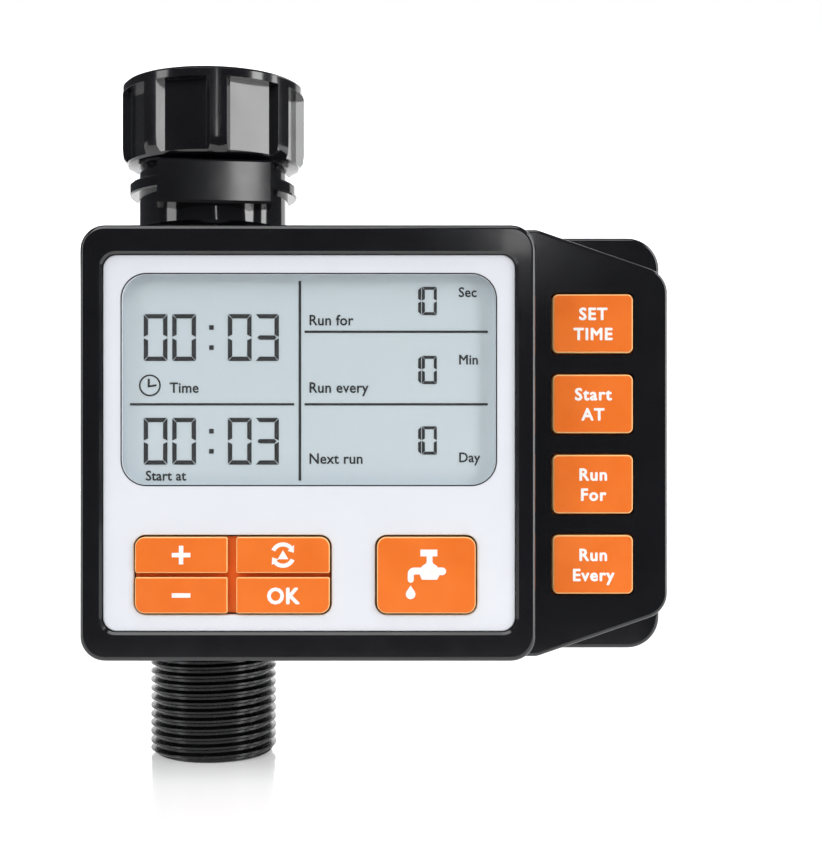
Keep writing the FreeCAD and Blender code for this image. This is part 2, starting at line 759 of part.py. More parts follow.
def make_inlet_spigot():
    seat = S.nut_low - 0.5
    shoulder = at(S.half_tall - S.wall) - 0.05
    top = at(S.half_tall)
    plug = S.chamber_radius - S.slip_gap
    body = turned("inlet_spigot", [
        (S.water_radius, -57.0), (plug, -57.0), (plug, -34.0), (11.0, -34.0), (11.0, -32.0),
        (plug, -32.0), (plug, -23.8), (13.5, -23.8), (13.5, shoulder), (15.2, shoulder),
        (15.2, top + 0.9), (14.6, top + 0.9),
        (14.6, top + 2.1), (S.neck_radius - 0.7, top + 2.2), (S.neck_radius, top + 3.0),
        (S.neck_radius, -10.1), (S.ring_radius - 0.3, -10.1), (S.ring_radius, -9.8),
        (S.ring_radius, -7.9), (S.ring_radius - 0.3, -7.6), (S.neck_radius, -7.6),
        (S.neck_radius, seat - 0.4), (S.neck_radius - 0.4, seat), (11.3, seat), (11.3, -1.85),
        (10.6, -1.85), (10.6, -0.8), (11.3, -0.8), (11.3, -0.3), (11.0, 0), (8.9, 0), (8.9, -1.6),
        (S.water_radius, -1.6),
    ])
    for side in (-1, 1):
        outline = [(-S.pad_half, -13.9), (S.pad_half, -13.9), (S.pad_half, seat - 0.1),
                   (-S.pad_half, seat - 0.1)]
        low, high = (S.pad_y, -10.0) if side < 0 else (10.0, -S.pad_y)
        add_slab(body, polygon(outline), low, high)
        face = as_size(low if side < 0 else high).value
        round_edges(body, "Chamfer", 0.5, lambda e: lies_on_y(e, face))
    swing(body, S.spigot_turn)


def make_inlet_nut():
    thread = ring_thread(S.nut_thread_radius, S.outlet_root, 2.6, 6, False)
    body = turned("inlet_nut", [
        (11.38, S.nut_low), (S.nut_radius - 3.2, S.nut_low), (S.nut_radius - 1.2, S.nut_low + 0.7),
        (S.nut_radius - 0.2, S.nut_low + 2.2), (S.nut_radius, S.nut_low + 4.0),
        (S.nut_radius, S.nut_high - 0.5), (S.nut_radius - 0.5, S.nut_high), (13.9, S.nut_high),
        (S.nut_thread_radius, S.nut_high - 0.5),
    ] + thread[::-1] + [(13.5, 2.6), (13.5, -2.0), (11.38, -2.0)])
    doc.recompute()
    sketch = new_sketch(body, "XY_Plane", S.nut_high - 2.0)
    half_turn = math.radians(22.5)
    outer = S.nut_radius + 2
    half_wide = S.nut_radius * math.sin(half_turn) - 0.75
    floor = S.nut_radius - 2.35
    draw_polygon(sketch, [(floor, -half_wide + 2.2), (floor + 2.6, -half_wide - 0.3),
                          (outer, -half_wide - 0.3), (outer, half_wide + 0.3),
                          (floor + 2.6, half_wide + 0.3), (floor, half_wide - 2.2)])
    doc.recompute()
    before = body.Shape.Volume
    pocket = feature(body, "PartDesign::Pocket", sketch, S.nut_high - 2.0 - S.nut_low - 1.2)
    doc.recompute()
    if not body.Shape.Volume < before - 1:
        raise RuntimeError("inlet_nut: the grip pocket cuts nothing")
    pattern = body.newObject("PartDesign::PolarPattern", "grip_pockets")
    pattern.Originals = [pocket]
    pattern.Axis = (sketch, ["N_Axis"])
    pattern.Angle = 360
    pattern.Occurrences = 8
    body.Tip = pattern
    swing(body, S.nut_turn)


def make_inlet_small_parts():
    keep("nut_retaining_ring", ring_along("z", (0, 0), -1.75, -0.9, 10.62, 13.0))
    keep("inlet_washer", ring_along("z", (0, 0), 0.0, 2.3, 9.0, 12.9))
    screen = turned("inlet_filter", [
        (5.4, -14.0), (6.1, -14.0), (7.6, -1.5), (8.8, -1.5), (8.8, -0.3), (6.9, -0.3), (6.9, -1.6),
        (5.4, -13.4), (0.001, -13.4), (0.001, -14.0),
    ])
    doc.recompute()
    slot = block((2.0, 9.0), (-0.45, 0.45), (-12.6, -2.4))
    slots = []
    for turn in range(12):
        copy = doc.addObject("Part::Feature", "slot")
        doc.recompute()
        copy.Shape = slot.Shape.rotated(Vector(), Vector(0, 0, 1), turn * 30)
        slots.append(copy)
    screen.Label = "inlet_filter_blank"
    keep("inlet_filter", cut(screen, *slots))
    seals = [ring_along("z", (0, 0), -33.8, -32.2, 11.02, S.chamber_radius - 0.02),
             ring_along("z", (0, 0), -92.8, -91.2, 10.02, 11.03)]
    keep("spigot_seals", group(*seals))


def make_outlet_spigot():
    thread = ring_thread(S.outlet_radius, S.outlet_root, S.outlet_low + 0.75, 12, True)
    last = thread[-1]
    turned("outlet_spigot", [
        (S.water_radius, S.outlet_low + 0.4), (S.water_radius + 0.4, S.outlet_low),
        (S.outlet_root - 0.3, S.outlet_low),
    ] + thread + [
        (last[0], last[1] + 0.3), (S.shank_radius, last[1] + 0.7),
        (S.shank_radius, at(-S.half_tall + S.wall) + 0.05),
        (13.75, at(-S.half_tall + S.wall) + 0.05), (13.75, -98.1), (11.0, -98.1), (11.0, -93.0),
        (10.0, -93.0), (10.0, -91.0), (11.0, -91.0), (11.0, -84.0), (S.water_radius, -84.0),
    ])


# ---------------------------------------------------------------- valve

def make_valve():
    chamber = turned("valve_body", [
        (S.chamber_radius, -23.85), (S.body_radius, -23.85),
        (S.body_radius, -98.0), (11.05, -98.0), (11.05, -83.9), (7.0, -83.9), (7.0, -75.6),
        (S.chamber_radius, -75.6),
    ])
    chamber.Label = "valve_chamber"
    lugs = []
    for lug in (-20.5, 20.5):
        bar = block((-18.2, 18.2), (8.0, 11.0), (S.stem_z + lug - 3, S.stem_z + lug + 3))
        lugs.append(bar)
    gland = rod("x", (0, S.stem_z), 12.5, S.gearbox_x, 6.5)
    flange = block((S.gearbox_x - 2.4, S.gearbox_x), (-9.5, 9.5), (S.stem_z - 9, S.stem_z + 9))
    shell = join(chamber, gland, flange, *lugs)
    bores = [
        rod("z", (0, 0), -75.6, -20.0, S.chamber_radius),
        rod("x", (0, S.stem_z), 0.0, S.gearbox_x + 1, S.stem_radius + S.running_gap),
        rod("z", (0, 0), -98.5, -83.9, 11.05),
    ]
    for side in (-1, 1):
        for lug in (-20.5, 20.5):
            bores.append(rod("y", (side * 15.6, S.stem_z + lug), 7.0, 12.0, 1.2))
        bores.append(rod("x", (side * 7.5, S.stem_z), S.gearbox_x - 3, S.gearbox_x + 1, 0.86))
    keep("valve_body", cut(shell, *bores))
    screws = []
    for side in (-1, 1):
        for lug in (-20.5, 20.5):
            place = (side * 15.6, S.stem_z + lug)
            screws.append(join(rod("y", place, 7.6, 18.0, 1.0), rod("y", place, 6.4, 8.0, 1.9)))
    keep("valve_screws", group(*screws))

    seats = []
    for low, high in ((-75.55, -69.6), (-62.4, -57.05)):
        seats.append(cut(ring_along("z", (0, 0), low, high, 6.2, S.chamber_radius - S.slip_gap),
                         ball(0, 0, S.stem_z, S.ball_radius + 0.05)))
    keep("ball_seats", group(*seats))
    slot = block((5.6, 10), (-10, 10), (S.stem_z - 1.5, S.stem_z + 1.5))
    keep("valve_ball", cut(ball(0, 0, S.stem_z, S.ball_radius), rod("y", (0, S.stem_z), -10, 10, 5.0), slot))

    stem = join(
        block((5.7, 9.4), (-2.6, 2.6), (S.stem_z - 1.48, S.stem_z + 1.48)),
        rod("x", (0, S.stem_z), 9.2, 27.2, S.stem_radius),
        rod("x", (0, S.stem_z), 27.0, S.gearbox_cover_x + 1.8, 2.0),
    )
    grooves = [ring_along("x", (0, S.stem_z), low, low + 1.4, 2.3, 3.4) for low in (13.6, 16.4)]
    keep("valve_stem", cut(stem, *grooves))
    seals = [ring_along("x", (0, S.stem_z), low + 0.1, low + 1.3, 2.32, 3.03) for low in (13.6, 16.4)]
    keep("stem_seals", group(*seals))


# ---------------------------------------------------------------- gearbox

GEAR_2 = (3.0, 12.752)
GEAR_1 = (4.0, 24.811)
MOTOR = (-5.5, 17.317)


FACING_X = Rotation(Vector(0, 1, 0), Vector(0, 0, 1), Vector(1, 0, 0))


def gear(teeth, x, thick, centre, bore, turn):
    """An involute spur gear about an axis along X, one tooth turned from +Y by the given angle."""
    builder = fcgear.FCWireBuilder()
    involute.CreateExternalGear(builder, S.gear_module.value, teeth, 20.0)
    wire = Part.Wire([edge.toShape() for edge in builder.wire])
    blank = Part.Face(wire).extrude(Vector(0, 0, thick))
    item = doc.addObject("Part::Feature", "gear")
    item.Shape = blank.cut(Part.makeCylinder(bore, thick))
    place = Vector(x, centre[0], S.stem_z.value + centre[1])
    item.Placement = FreeCAD.Placement(place, FACING_X.multiply(Rotation(Vector(0, 0, 1), turn)))
    return item


def bearing(start, end):
    return math.degrees(math.atan2(end[1] - start[1], end[0] - start[0]))


def meshing_turn(turn, teeth, start, end, mate_teeth):
    """The turn of a gear at end that meshes with one at start."""
    line = bearing(start, end)
    phase = (line - turn) * teeth / 360
    return line + 180 - (0.5 - phase) * 360 / mate_teeth


def make_gears():
    output_teeth = int(S.output_teeth.value)
    wheel = int(S.wheel_teeth.value)
    pinion = int(S.pinion_teeth.value)
    axis = (0.0, 0.0)
    keep("output_gear", join(
        gear(output_teeth, 23.0, 4.0, axis, S.stem_radius.value + 0.01, 0.0)))
    second_turn = meshing_turn(0.0, output_teeth, axis, GEAR_2, pinion)
    first_turn = meshing_turn(second_turn, wheel, GEAR_2, GEAR_1, pinion)
    motor_turn = meshing_turn(first_turn, wheel, GEAR_1, MOTOR, pinion)
    keep("second_gear", join(
        gear(pinion, 22.8, 5.3, GEAR_2, 1.06, second_turn),
        gear(wheel, 28.0, 2.0, GEAR_2, 1.06, second_turn)))
    keep("first_gear", join(
        gear(pinion, 27.9, 3.2, GEAR_1, 1.06, first_turn),
        gear(wheel, 31.0, 2.0, GEAR_1, 1.06, first_turn)))
    keep("motor_pinion", join(gear(pinion, 30.8, 3.0, MOTOR, 1.01, motor_turn)))
    axles = [rod("x", (y, S.stem_z + z), 19.6, 36.4, 1.0) for y, z in (GEAR_2, GEAR_1)]
    keep("gear_axles", group(*axles))
    keep("motor_shaft", rod("x", (MOTOR[0], S.stem_z + MOTOR[1]), 30.6, 38.6, 1.0))


BOX_SCREWS = [(-10.3, -10.3), (13.3, -10.3), (-10.3, 34.0), (13.3, 34.0)]


def make_gearbox():
    low_x, high_x = S.gearbox_x, S.gearbox_cover_x
    box_y = (-13.0, 16.0)
    box_z = (S.stem_z - 13.0, S.stem_z + 36.7)
    outer = block((low_x, high_x), box_y, box_z)
    inner = block((low_x + 2, high_x + 1), (box_y[0] + 1.5, box_y[1] - 1.5), (box_z[0] + 1.5, box_z[1] - 1.5))
    posts = [rod("x", (y, S.stem_z + z), low_x + 1, high_x, 2.6) for y, z in BOX_SCREWS]
    pilots = [rod("x", (y, S.stem_z + z), high_x - 7, high_x + 1, 0.91) for y, z in BOX_SCREWS]
    swept = [rod("x", (0, S.stem_z), low_x + 2, high_x + 1, 10.9),
             rod("x", (GEAR_1[0], S.stem_z + GEAR_1[1]), low_x + 2, high_x + 1, 9.9)]
    holes = [rod("x", (0, S.stem_z), low_x - 1, low_x + 3, S.stem_radius + S.running_gap)]
    holes += [rod("x", (y, S.stem_z + z), low_x + 0.5, low_x + 3, 1.0) for y, z in (GEAR_2, GEAR_1)]
    holes += [rod("x", (y, S.stem_z), low_x - 1, low_x + 3, 1.05) for y in (-7.5, 7.5)]
    keep("gearbox_base", cut(join(cut(outer, inner), *posts), *swept, *pilots, *holes))

    plate = block((high_x, high_x + 2), box_y, box_z)
    cover_holes = [rod("x", (0, S.stem_z), high_x - 1, high_x + 3, 2.05)]
    cover_holes += [rod("x", (y, S.stem_z + z), high_x - 1, high_x + 1.5, 1.0) for y, z in (GEAR_2, GEAR_1)]
    cover_holes += [rod("x", (y, S.stem_z + z), high_x - 1, high_x + 3, 1.1) for y, z in BOX_SCREWS]
    cover_holes += [rod("x", (MOTOR[0], S.stem_z + MOTOR[1]), high_x - 1, high_x + 3, 3.2)]
    keep("gearbox_cover", cut(plate, *cover_holes))
    screws = []
    for y, z in BOX_SCREWS:
        place = (y, S.stem_z + z)
        screws.append(join(rod("x", place, high_x - 6, high_x + 2.4, 0.9),
                           rod("x", place, high_x + 2, high_x + 3.5, 1.9)))
    for y in (-7.5, 7.5):
        place = (y, S.stem_z)
        screws.append(join(rod("x", place, low_x - 2, low_x + 2.4, 0.85),
                           rod("x", place, low_x + 2, low_x + 3, 1.7)))
    keep("gearbox_screws", group(*screws))

    y, z = MOTOR
    can = block((high_x + 2, high_x + 27), (y - 7.5, y + 7.5), (S.stem_z + z - 10, S.stem_z + z + 10))
    can_corners = rod("x", (y, S.stem_z + z), high_x + 2, high_x + 27, 10)
    barrel = doc.addObject("Part::Common", "motor_can")
    barrel.Base = can
    barrel.Tool = can_corners
    boss = rod("x", (y, S.stem_z + z), high_x + 0.6, high_x + 2.2, 3.0)
    hole = rod("x", (y, S.stem_z + z), high_x - 1, high_x + 4, 1.04)
    keep("drive_motor", cut(join(barrel, boss), hole))


# ---------------------------------------------------------------- batteries and their door

def make_batteries():
    cell_y = S.bay_floor_y + S.cell_radius + 0.6
    half = S.cell_long / 2
    cells = []
    contacts = []
    for x, up in ((55.9, 1), (67.1, -1)):
        can = rod("z", (x, cell_y), at(-half + (0 if up > 0 else 1.0)), at(half - (1.0 if up > 0 else 0)),
                  S.cell_radius)
        tip_low, tip_high = (half - 1.2, half) if up > 0 else (-half, -half + 1.2)
        cells.append(join(can, rod("z", (x, cell_y), at(tip_low), at(tip_high), 1.9)))
        for side in (-1, 1):
            plus_end = side == up
            wall_z = S.bay_half * side
            end_z = half * side
            plate_low, plate_high = (wall_z - 0.4, wall_z) if side > 0 else (wall_z, wall_z + 0.4)
            plate = block((x - 4, x + 4), (cell_y - 4, cell_y + 4), (at(plate_low), at(plate_high)))
            reach = (end_z + 0.05, plate_low + 0.1) if side > 0 else (plate_high - 0.1, end_z - 0.05)
            spring = rod("z", (x, cell_y), at(reach[0]), at(reach[1]), 1.6 if plus_end else 3.0)
            hollow = rod("z", (x, cell_y), at(reach[0]), at(reach[1]), 0.8 if plus_end else 2.4)
            contacts.append(cut(join(plate, spring), hollow))
    keep("battery_cells", group(*cells))
    keep("battery_contacts", group(*contacts))


def make_battery_door():
    hinge = (S.door_hinge_x, S.door_hinge_y)
    plate_y = S.door_hinge_y - 0.4
    door = new_body("battery_door")
    outline = box_corners(S.door_left, S.door_hinge_x, at(-S.door_half), at(S.door_half), 1.2)
    add_slab(door, outlines(outline), plate_y, S.back_y)
    sketch = new_sketch(door, "XY_Plane", at(S.door_half))
    draw_circle(sketch, *hinge, S.barrel_radius)
    feature(door, "PartDesign::Pad", sketch, S.door_half * 2).Reversed = True
    for rib in range(5):
        x = S.door_left + 4.5 + rib * 1.6
        groove = box_corners(x, x + 0.7, at(-9), at(9), 0.3)
        cut_slab(door, outlines(groove), S.back_y - 0.5, S.back_y)
    cut_upright(door, *hinge, S.hinge_pin_radius + 0.05, at(-S.door_half - 1), at(S.door_half + 1))

    keep("battery_hinge_pin", rod("z", hinge, at(-S.door_half - 1.9), at(S.door_half + 1.9),
                                  S.hinge_pin_radius))
    seal = new_body("battery_door_seal")
    rim_y = S.back_y - 3.2
    outer = box_corners(S.bay_left - 2.6, S.bay_right + 2.6, at(-S.bay_half - 2.2), at(S.bay_half + 2.2), 1.6)
    inner = box_corners(S.bay_left - 1.0, S.bay_right + 1.0, at(-S.bay_half - 0.8), at(S.bay_half + 0.8), 0.8)
    add_slab(seal, outlines(outer), rim_y, plate_y)
    cut_slab(seal, outlines(inner), rim_y, plate_y)


make_front_housing()
make_rear_housing()
make_housing_seal()
make_housing_screws()
make_face_panel()
make_display()
make_boards()
make_front_mat()
make_front_keys()
make_side_keys()
make_inlet_spigot()
make_inlet_nut()
make_inlet_small_parts()
make_outlet_spigot()
make_valve()
make_gears()
make_gearbox()
make_batteries()
make_battery_door()

doc.recompute()
for item in doc.Objects:
    if "Invalid" in item.State or "Error" in item.State:
        raise RuntimeError(f"{item.Name} ({item.Label}) failed: {item.State}")
for node, item in PARTS.items():
    if item.Shape.isNull() or not item.Shape.isValid():
        raise RuntimeError(f"{node} has no valid shape")
for node, item in PARTS.items():
    item.Shape.exportStep(f"parts/{node}.step")
print(len(PARTS), "parts written")
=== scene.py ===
"""Finishes, print, thread, springs and studio of the battery tap timer, in metres.

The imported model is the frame: +Z up along the waterway, the front faces -Y.
"""
import json
import math

import bpy
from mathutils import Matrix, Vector


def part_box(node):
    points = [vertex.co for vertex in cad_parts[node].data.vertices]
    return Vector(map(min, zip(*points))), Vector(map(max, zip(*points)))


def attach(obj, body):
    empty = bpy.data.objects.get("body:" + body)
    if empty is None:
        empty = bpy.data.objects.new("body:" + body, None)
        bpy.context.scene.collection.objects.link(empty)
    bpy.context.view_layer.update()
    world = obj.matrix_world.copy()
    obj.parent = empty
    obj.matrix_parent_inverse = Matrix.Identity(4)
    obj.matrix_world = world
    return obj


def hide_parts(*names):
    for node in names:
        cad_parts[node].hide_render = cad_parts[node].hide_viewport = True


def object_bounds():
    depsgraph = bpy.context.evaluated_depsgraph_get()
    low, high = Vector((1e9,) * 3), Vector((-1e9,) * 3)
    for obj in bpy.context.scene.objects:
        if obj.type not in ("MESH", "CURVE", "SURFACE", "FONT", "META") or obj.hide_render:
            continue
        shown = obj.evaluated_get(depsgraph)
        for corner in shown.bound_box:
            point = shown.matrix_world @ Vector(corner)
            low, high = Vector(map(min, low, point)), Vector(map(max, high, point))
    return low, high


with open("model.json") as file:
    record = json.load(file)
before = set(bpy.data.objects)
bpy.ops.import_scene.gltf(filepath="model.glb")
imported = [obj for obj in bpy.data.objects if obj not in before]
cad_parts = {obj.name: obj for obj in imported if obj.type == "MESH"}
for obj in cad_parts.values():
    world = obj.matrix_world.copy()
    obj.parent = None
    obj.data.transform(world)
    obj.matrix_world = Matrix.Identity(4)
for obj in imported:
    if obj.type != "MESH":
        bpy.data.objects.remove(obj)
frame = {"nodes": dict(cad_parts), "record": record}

cad_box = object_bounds()
scene = bpy.context.scene
nodes = frame["nodes"]
MM = 0.001
DEGREE = math.pi / 180
CASE_X = 0.034
CASE_Z = -0.062
FINE = 0.000005


# ---------------------------------------------------------------- finishes

class Finish:
    """A material whose colour, roughness and relief vary over the piece's own coordinates."""

    def __init__(self, name, roughness, metallic=0.0, **settings):
        self.material = bpy.data.materials.new(name)
        self.material.use_nodes = True
        self.tree = self.material.node_tree
        self.shader = self.tree.nodes["Principled BSDF"]
        self.shader.inputs["Roughness"].default_value = roughness
        self.shader.inputs["Metallic"].default_value = metallic
        for socket, amount in settings.items():
            self.shader.inputs[socket.replace("_", " ")].default_value = amount
        self.place = self.node("ShaderNodeTexCoord").outputs["Object"]

    def node(self, kind, **settings):
        node = self.tree.nodes.new(kind)
        for name, value in settings.items():
            setattr(node, name, value)
        return node

    def link(self, start, end):
        self.tree.links.new(start, end)

    def noise(self, scale, detail=3.0, stretch=(1, 1, 1)):
        mapping = self.node("ShaderNodeMapping")
        mapping.inputs["Scale"].default_value = stretch
        self.link(self.place, mapping.inputs["Vector"])
        noise = self.node("ShaderNodeTexNoise")
        noise.inputs["Scale"].default_value = scale
        noise.inputs["Detail"].default_value = detail
        self.link(mapping.outputs["Vector"], noise.inputs["Vector"])
        return noise.outputs["Fac"]

    def ramp(self, amount, *stops):
        """Colours over amount, as (place, colour) stops."""
        ramp = self.node("ShaderNodeValToRGB")
        self.link(amount, ramp.inputs["Fac"])
        elements = ramp.color_ramp.elements
        while len(elements) < len(stops):
            elements.new(0.5)
        for element, (place, color) in zip(elements, stops):
            element.position = place
            element.color = (*color, 1)
        return ramp.outputs["Color"]

    def colour(self, scale, dark, light, detail=3.0, stretch=(1, 1, 1)):
        mixed = self.ramp(self.noise(scale, detail, stretch), (0.3, dark), (0.7, light))
        self.link(mixed, self.shader.inputs["Base Color"])
        return mixed

    def polish(self, scale, low, high, stretch=(1, 1, 1)):
        """Roughness that wanders between low and high."""
        spread = self.node("ShaderNodeMapRange")
        spread.inputs["From Min"].default_value = 0.3
        spread.inputs["From Max"].default_value = 0.7
        spread.inputs["To Min"].default_value = low
        spread.inputs["To Max"].default_value = high
        self.link(self.noise(scale, 2.0, stretch), spread.inputs["Value"])
        self.link(spread.outputs["Result"], self.shader.inputs["Roughness"])

    def grain(self, scale, depth, detail=2.0, stretch=(1, 1, 1)):
        """Fine relief, depth in metres."""
        bump = self.node("ShaderNodeBump")
        bump.inputs["Distance"].default_value = depth
        self.link(self.noise(scale, detail, stretch), bump.inputs["Height"])
        self.link(bump.outputs["Normal"], self.shader.inputs["Normal"])


def gloss_black(name="gloss_black_plastic", grain_depth=0.000004, roughness=0.15):
    """High-gloss moulded shell: near black, with the faint waviness of a polished mould."""
    finish = Finish(name, roughness, IOR=1.55, Coat_Weight=0.3, Coat_Roughness=0.05)
    finish.colour(90, (0.0045, 0.0045, 0.006), (0.0065, 0.0065, 0.0084))
    finish.polish(140, roughness * 0.8, roughness * 1.2)
    finish.grain(260, grain_depth)
    return finish.material


def thread_black():
    """The same plastic where it is threaded: a little duller, with drag marks round the turns."""
    finish = Finish("thread_black_plastic", 0.26, IOR=1.5)
    finish.colour(160, (0.0025, 0.0025, 0.003), (0.005, 0.005, 0.0055))
    finish.polish(300, 0.2, 0.32, stretch=(1, 1, 5))
    finish.grain(900, 0.00001)
    return finish.material


def satin_white():
    finish = Finish("satin_white_panel", 0.34, IOR=1.48)
    finish.colour(45, (0.765, 0.785, 0.84), (0.8, 0.82, 0.866))
    finish.polish(300, 0.3, 0.4)
    finish.grain(3500, 0.000006)
    return finish.material


def clear_window():
    finish = Finish("clear_window", 0.06, IOR=1.45, Alpha=0.03)
    finish.colour(30, (0.5, 0.53, 0.55), (0.55, 0.57, 0.58))
    finish.polish(60, 0.04, 0.09)
    return finish.material


def liquid_crystal():
    """Grey-blue display glass, with the fine rows of its electrodes."""
    finish = Finish("liquid_crystal_glass", 0.3, IOR=1.4, Specular_IOR_Level=0.25)
    finish.colour(18, (0.565, 0.648, 0.683), (0.6, 0.672, 0.71))
    wave = finish.node("ShaderNodeTexWave", wave_type="BANDS", bands_direction="X")
    wave.inputs["Scale"].default_value = 700
    finish.link(finish.place, wave.inputs["Vector"])
    bump = finish.node("ShaderNodeBump")
    bump.inputs["Distance"].default_value = 0.000002
    finish.link(wave.outputs["Fac"], bump.inputs["Height"])
    finish.link(bump.outputs["Normal"], finish.shader.inputs["Normal"])
    return finish.material


def printed(name, dark, light, roughness):
    """Ink: slightly uneven cover."""
    finish = Finish(name, roughness)
    finish.colour(700, dark, light)
    finish.polish(500, roughness - 0.06, roughness + 0.06)
    return finish.material


def silicone(name, dark, light, painted_rim):
    """Soft satin silicone whose rounded edges get a paler rim colour: a painted edge highlight."""
    finish = Finish(name, 0.42, IOR=1.42, Sheen_Weight=0.08)
    body = finish.colour(120, dark, light)
    # Painted highlight: the less a face looks to the front (-Y), the more of the pale rim colour it takes.
    turned = finish.node("ShaderNodeSeparateXYZ")
    finish.link(finish.node("ShaderNodeNewGeometry").outputs["Normal"], turned.inputs["Vector"])
    edge = finish.node("ShaderNodeMapRange", interpolation_type="SMOOTHSTEP")
    edge.inputs["From Min"].default_value = -0.985
    edge.inputs["From Max"].default_value = -0.8
    finish.link(turned.outputs["Y"], edge.inputs["Value"])
    mix = finish.node("ShaderNodeMix", data_type="RGBA")
    finish.link(edge.outputs["Result"], mix.inputs["Factor"])
    finish.link(body, mix.inputs["A"])
    mix.inputs["B"].default_value = (*painted_rim, 1)
    finish.link(mix.outputs["Result"], finish.shader.inputs["Base Color"])
    finish.polish(260, 0.36, 0.5)
    finish.grain(2600, 0.000006)
    return finish.material


def rubber(name, dark, light, roughness=0.6):
    finish = Finish(name, roughness, IOR=1.45)
    finish.colour(300, dark, light)
    finish.polish(400, roughness - 0.08, roughness + 0.08)
    finish.grain(2500, 0.00001)
    return finish.material


def metal(name, dark, light, roughness, stretch=(1, 1, 1), grain_depth=0.000005):
    finish = Finish(name, roughness, metallic=1.0)
    finish.colour(220, dark, light, stretch=stretch)
    finish.polish(500, roughness * 0.75, roughness * 1.3, stretch)
    finish.grain(1800, grain_depth, stretch=stretch)
    return finish.material


def moulded(name, dark, light, roughness=0.42, grain_depth=0.000012):
    finish = Finish(name, roughness, IOR=1.48)
    finish.colour(130, dark, light)
    finish.polish(350, roughness - 0.07, roughness + 0.07)
    finish.grain(1500, grain_depth)
    return finish.material


def circuit_board():
    """Green mask with paler copper runs showing through in steps."""
    finish = Finish("circuit_board_mask", 0.3, IOR=1.5)
    brick = finish.node("ShaderNodeTexBrick")
    turn = finish.node("ShaderNodeMapping")
    turn.inputs["Rotation"].default_value = (90 * DEGREE, 0, 0)
    finish.link(finish.place, turn.inputs["Vector"])
    finish.link(turn.outputs["Vector"], brick.inputs["Vector"])
    brick.inputs["Scale"].default_value = 260
    brick.inputs["Mortar Size"].default_value = 0.035
    brick.inputs["Color1"].default_value = (0.012, 0.16, 0.06, 1)
    brick.inputs["Color2"].default_value = (0.018, 0.2, 0.075, 1)
    brick.inputs["Mortar"].default_value = (0.06, 0.33, 0.14, 1)
    finish.link(brick.outputs["Color"], finish.shader.inputs["Base Color"])
    finish.polish(300, 0.24, 0.38)
    finish.grain(900, 0.00001)
    return finish.material


def striped_ribbon():
    finish = Finish("ribbon_strands", 0.45)
    wave = finish.node("ShaderNodeTexWave", wave_type="BANDS", bands_direction="Z")
    wave.inputs["Scale"].default_value = 260
    finish.link(finish.place, wave.inputs["Vector"])
    strands = finish.ramp(wave.outputs["Fac"], (0.25, (0.3, 0.3, 0.31)), (0.6, (0.6, 0.6, 0.61)))
    finish.link(strands, finish.shader.inputs["Base Color"])
    finish.polish(300, 0.4, 0.52)
    return finish.material


def wrapped_cell():
    """The cells' printed sleeves, head to tail: green with a black end, faintly metallic."""
    finish = Finish("wrapped_cell_sleeve", 0.3, metallic=0.35)
    height = finish.node("ShaderNodeSeparateXYZ")
    finish.link(finish.place, height.inputs["Vector"])
    low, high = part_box("battery_cells")
    along = finish.node("ShaderNodeMapRange")
    along.inputs["From Min"].default_value = low.z
    along.inputs["From Max"].default_value = high.z
    finish.link(height.outputs["Z"], along.inputs["Value"])
    second = finish.node("ShaderNodeMath", operation="GREATER_THAN")
    second.inputs[1].default_value = (low.x + high.x) / 2
    finish.link(height.outputs["X"], second.inputs[0])
    other_way = finish.node("ShaderNodeMath", operation="SUBTRACT")
    other_way.inputs[0].default_value = 1
    finish.link(along.outputs["Result"], other_way.inputs[1])
    lengthwise = finish.node("ShaderNodeMix", data_type="FLOAT")
    finish.link(second.outputs["Value"], lengthwise.inputs[0])
    finish.link(along.outputs["Result"], lengthwise.inputs[2])
    finish.link(other_way.outputs["Value"], lengthwise.inputs[3])
    sleeve = finish.ramp(lengthwise.outputs[0], (0.0, (0.55, 0.55, 0.56)), (0.02, (0.55, 0.55, 0.56)),
                         (0.03, (0.02, 0.02, 0.022)), (0.28, (0.02, 0.02, 0.022)),
                         (0.3, (0.07, 0.3, 0.13)), (0.96, (0.08, 0.34, 0.15)),
                         (0.97, (0.6, 0.6, 0.62)))
    finish.link(sleeve, finish.shader.inputs["Base Color"])
    finish.polish(300, 0.24, 0.36)
    finish.grain(1200, 0.000006)
    return finish.material


def studio_paper(name, glow, roughness):
    """White paper with an even glow of its own."""
    finish = Finish(name, roughness, IOR=1.5)
    finish.colour(3, (0.9, 0.9, 0.9), (0.93, 0.93, 0.93))
    finish.polish(8, roughness - 0.02, roughness + 0.02)
    finish.shader.inputs["Emission Color"].default_value = (1, 1, 1, 1)
    finish.shader.inputs["Emission Strength"].default_value = glow
    return finish.material


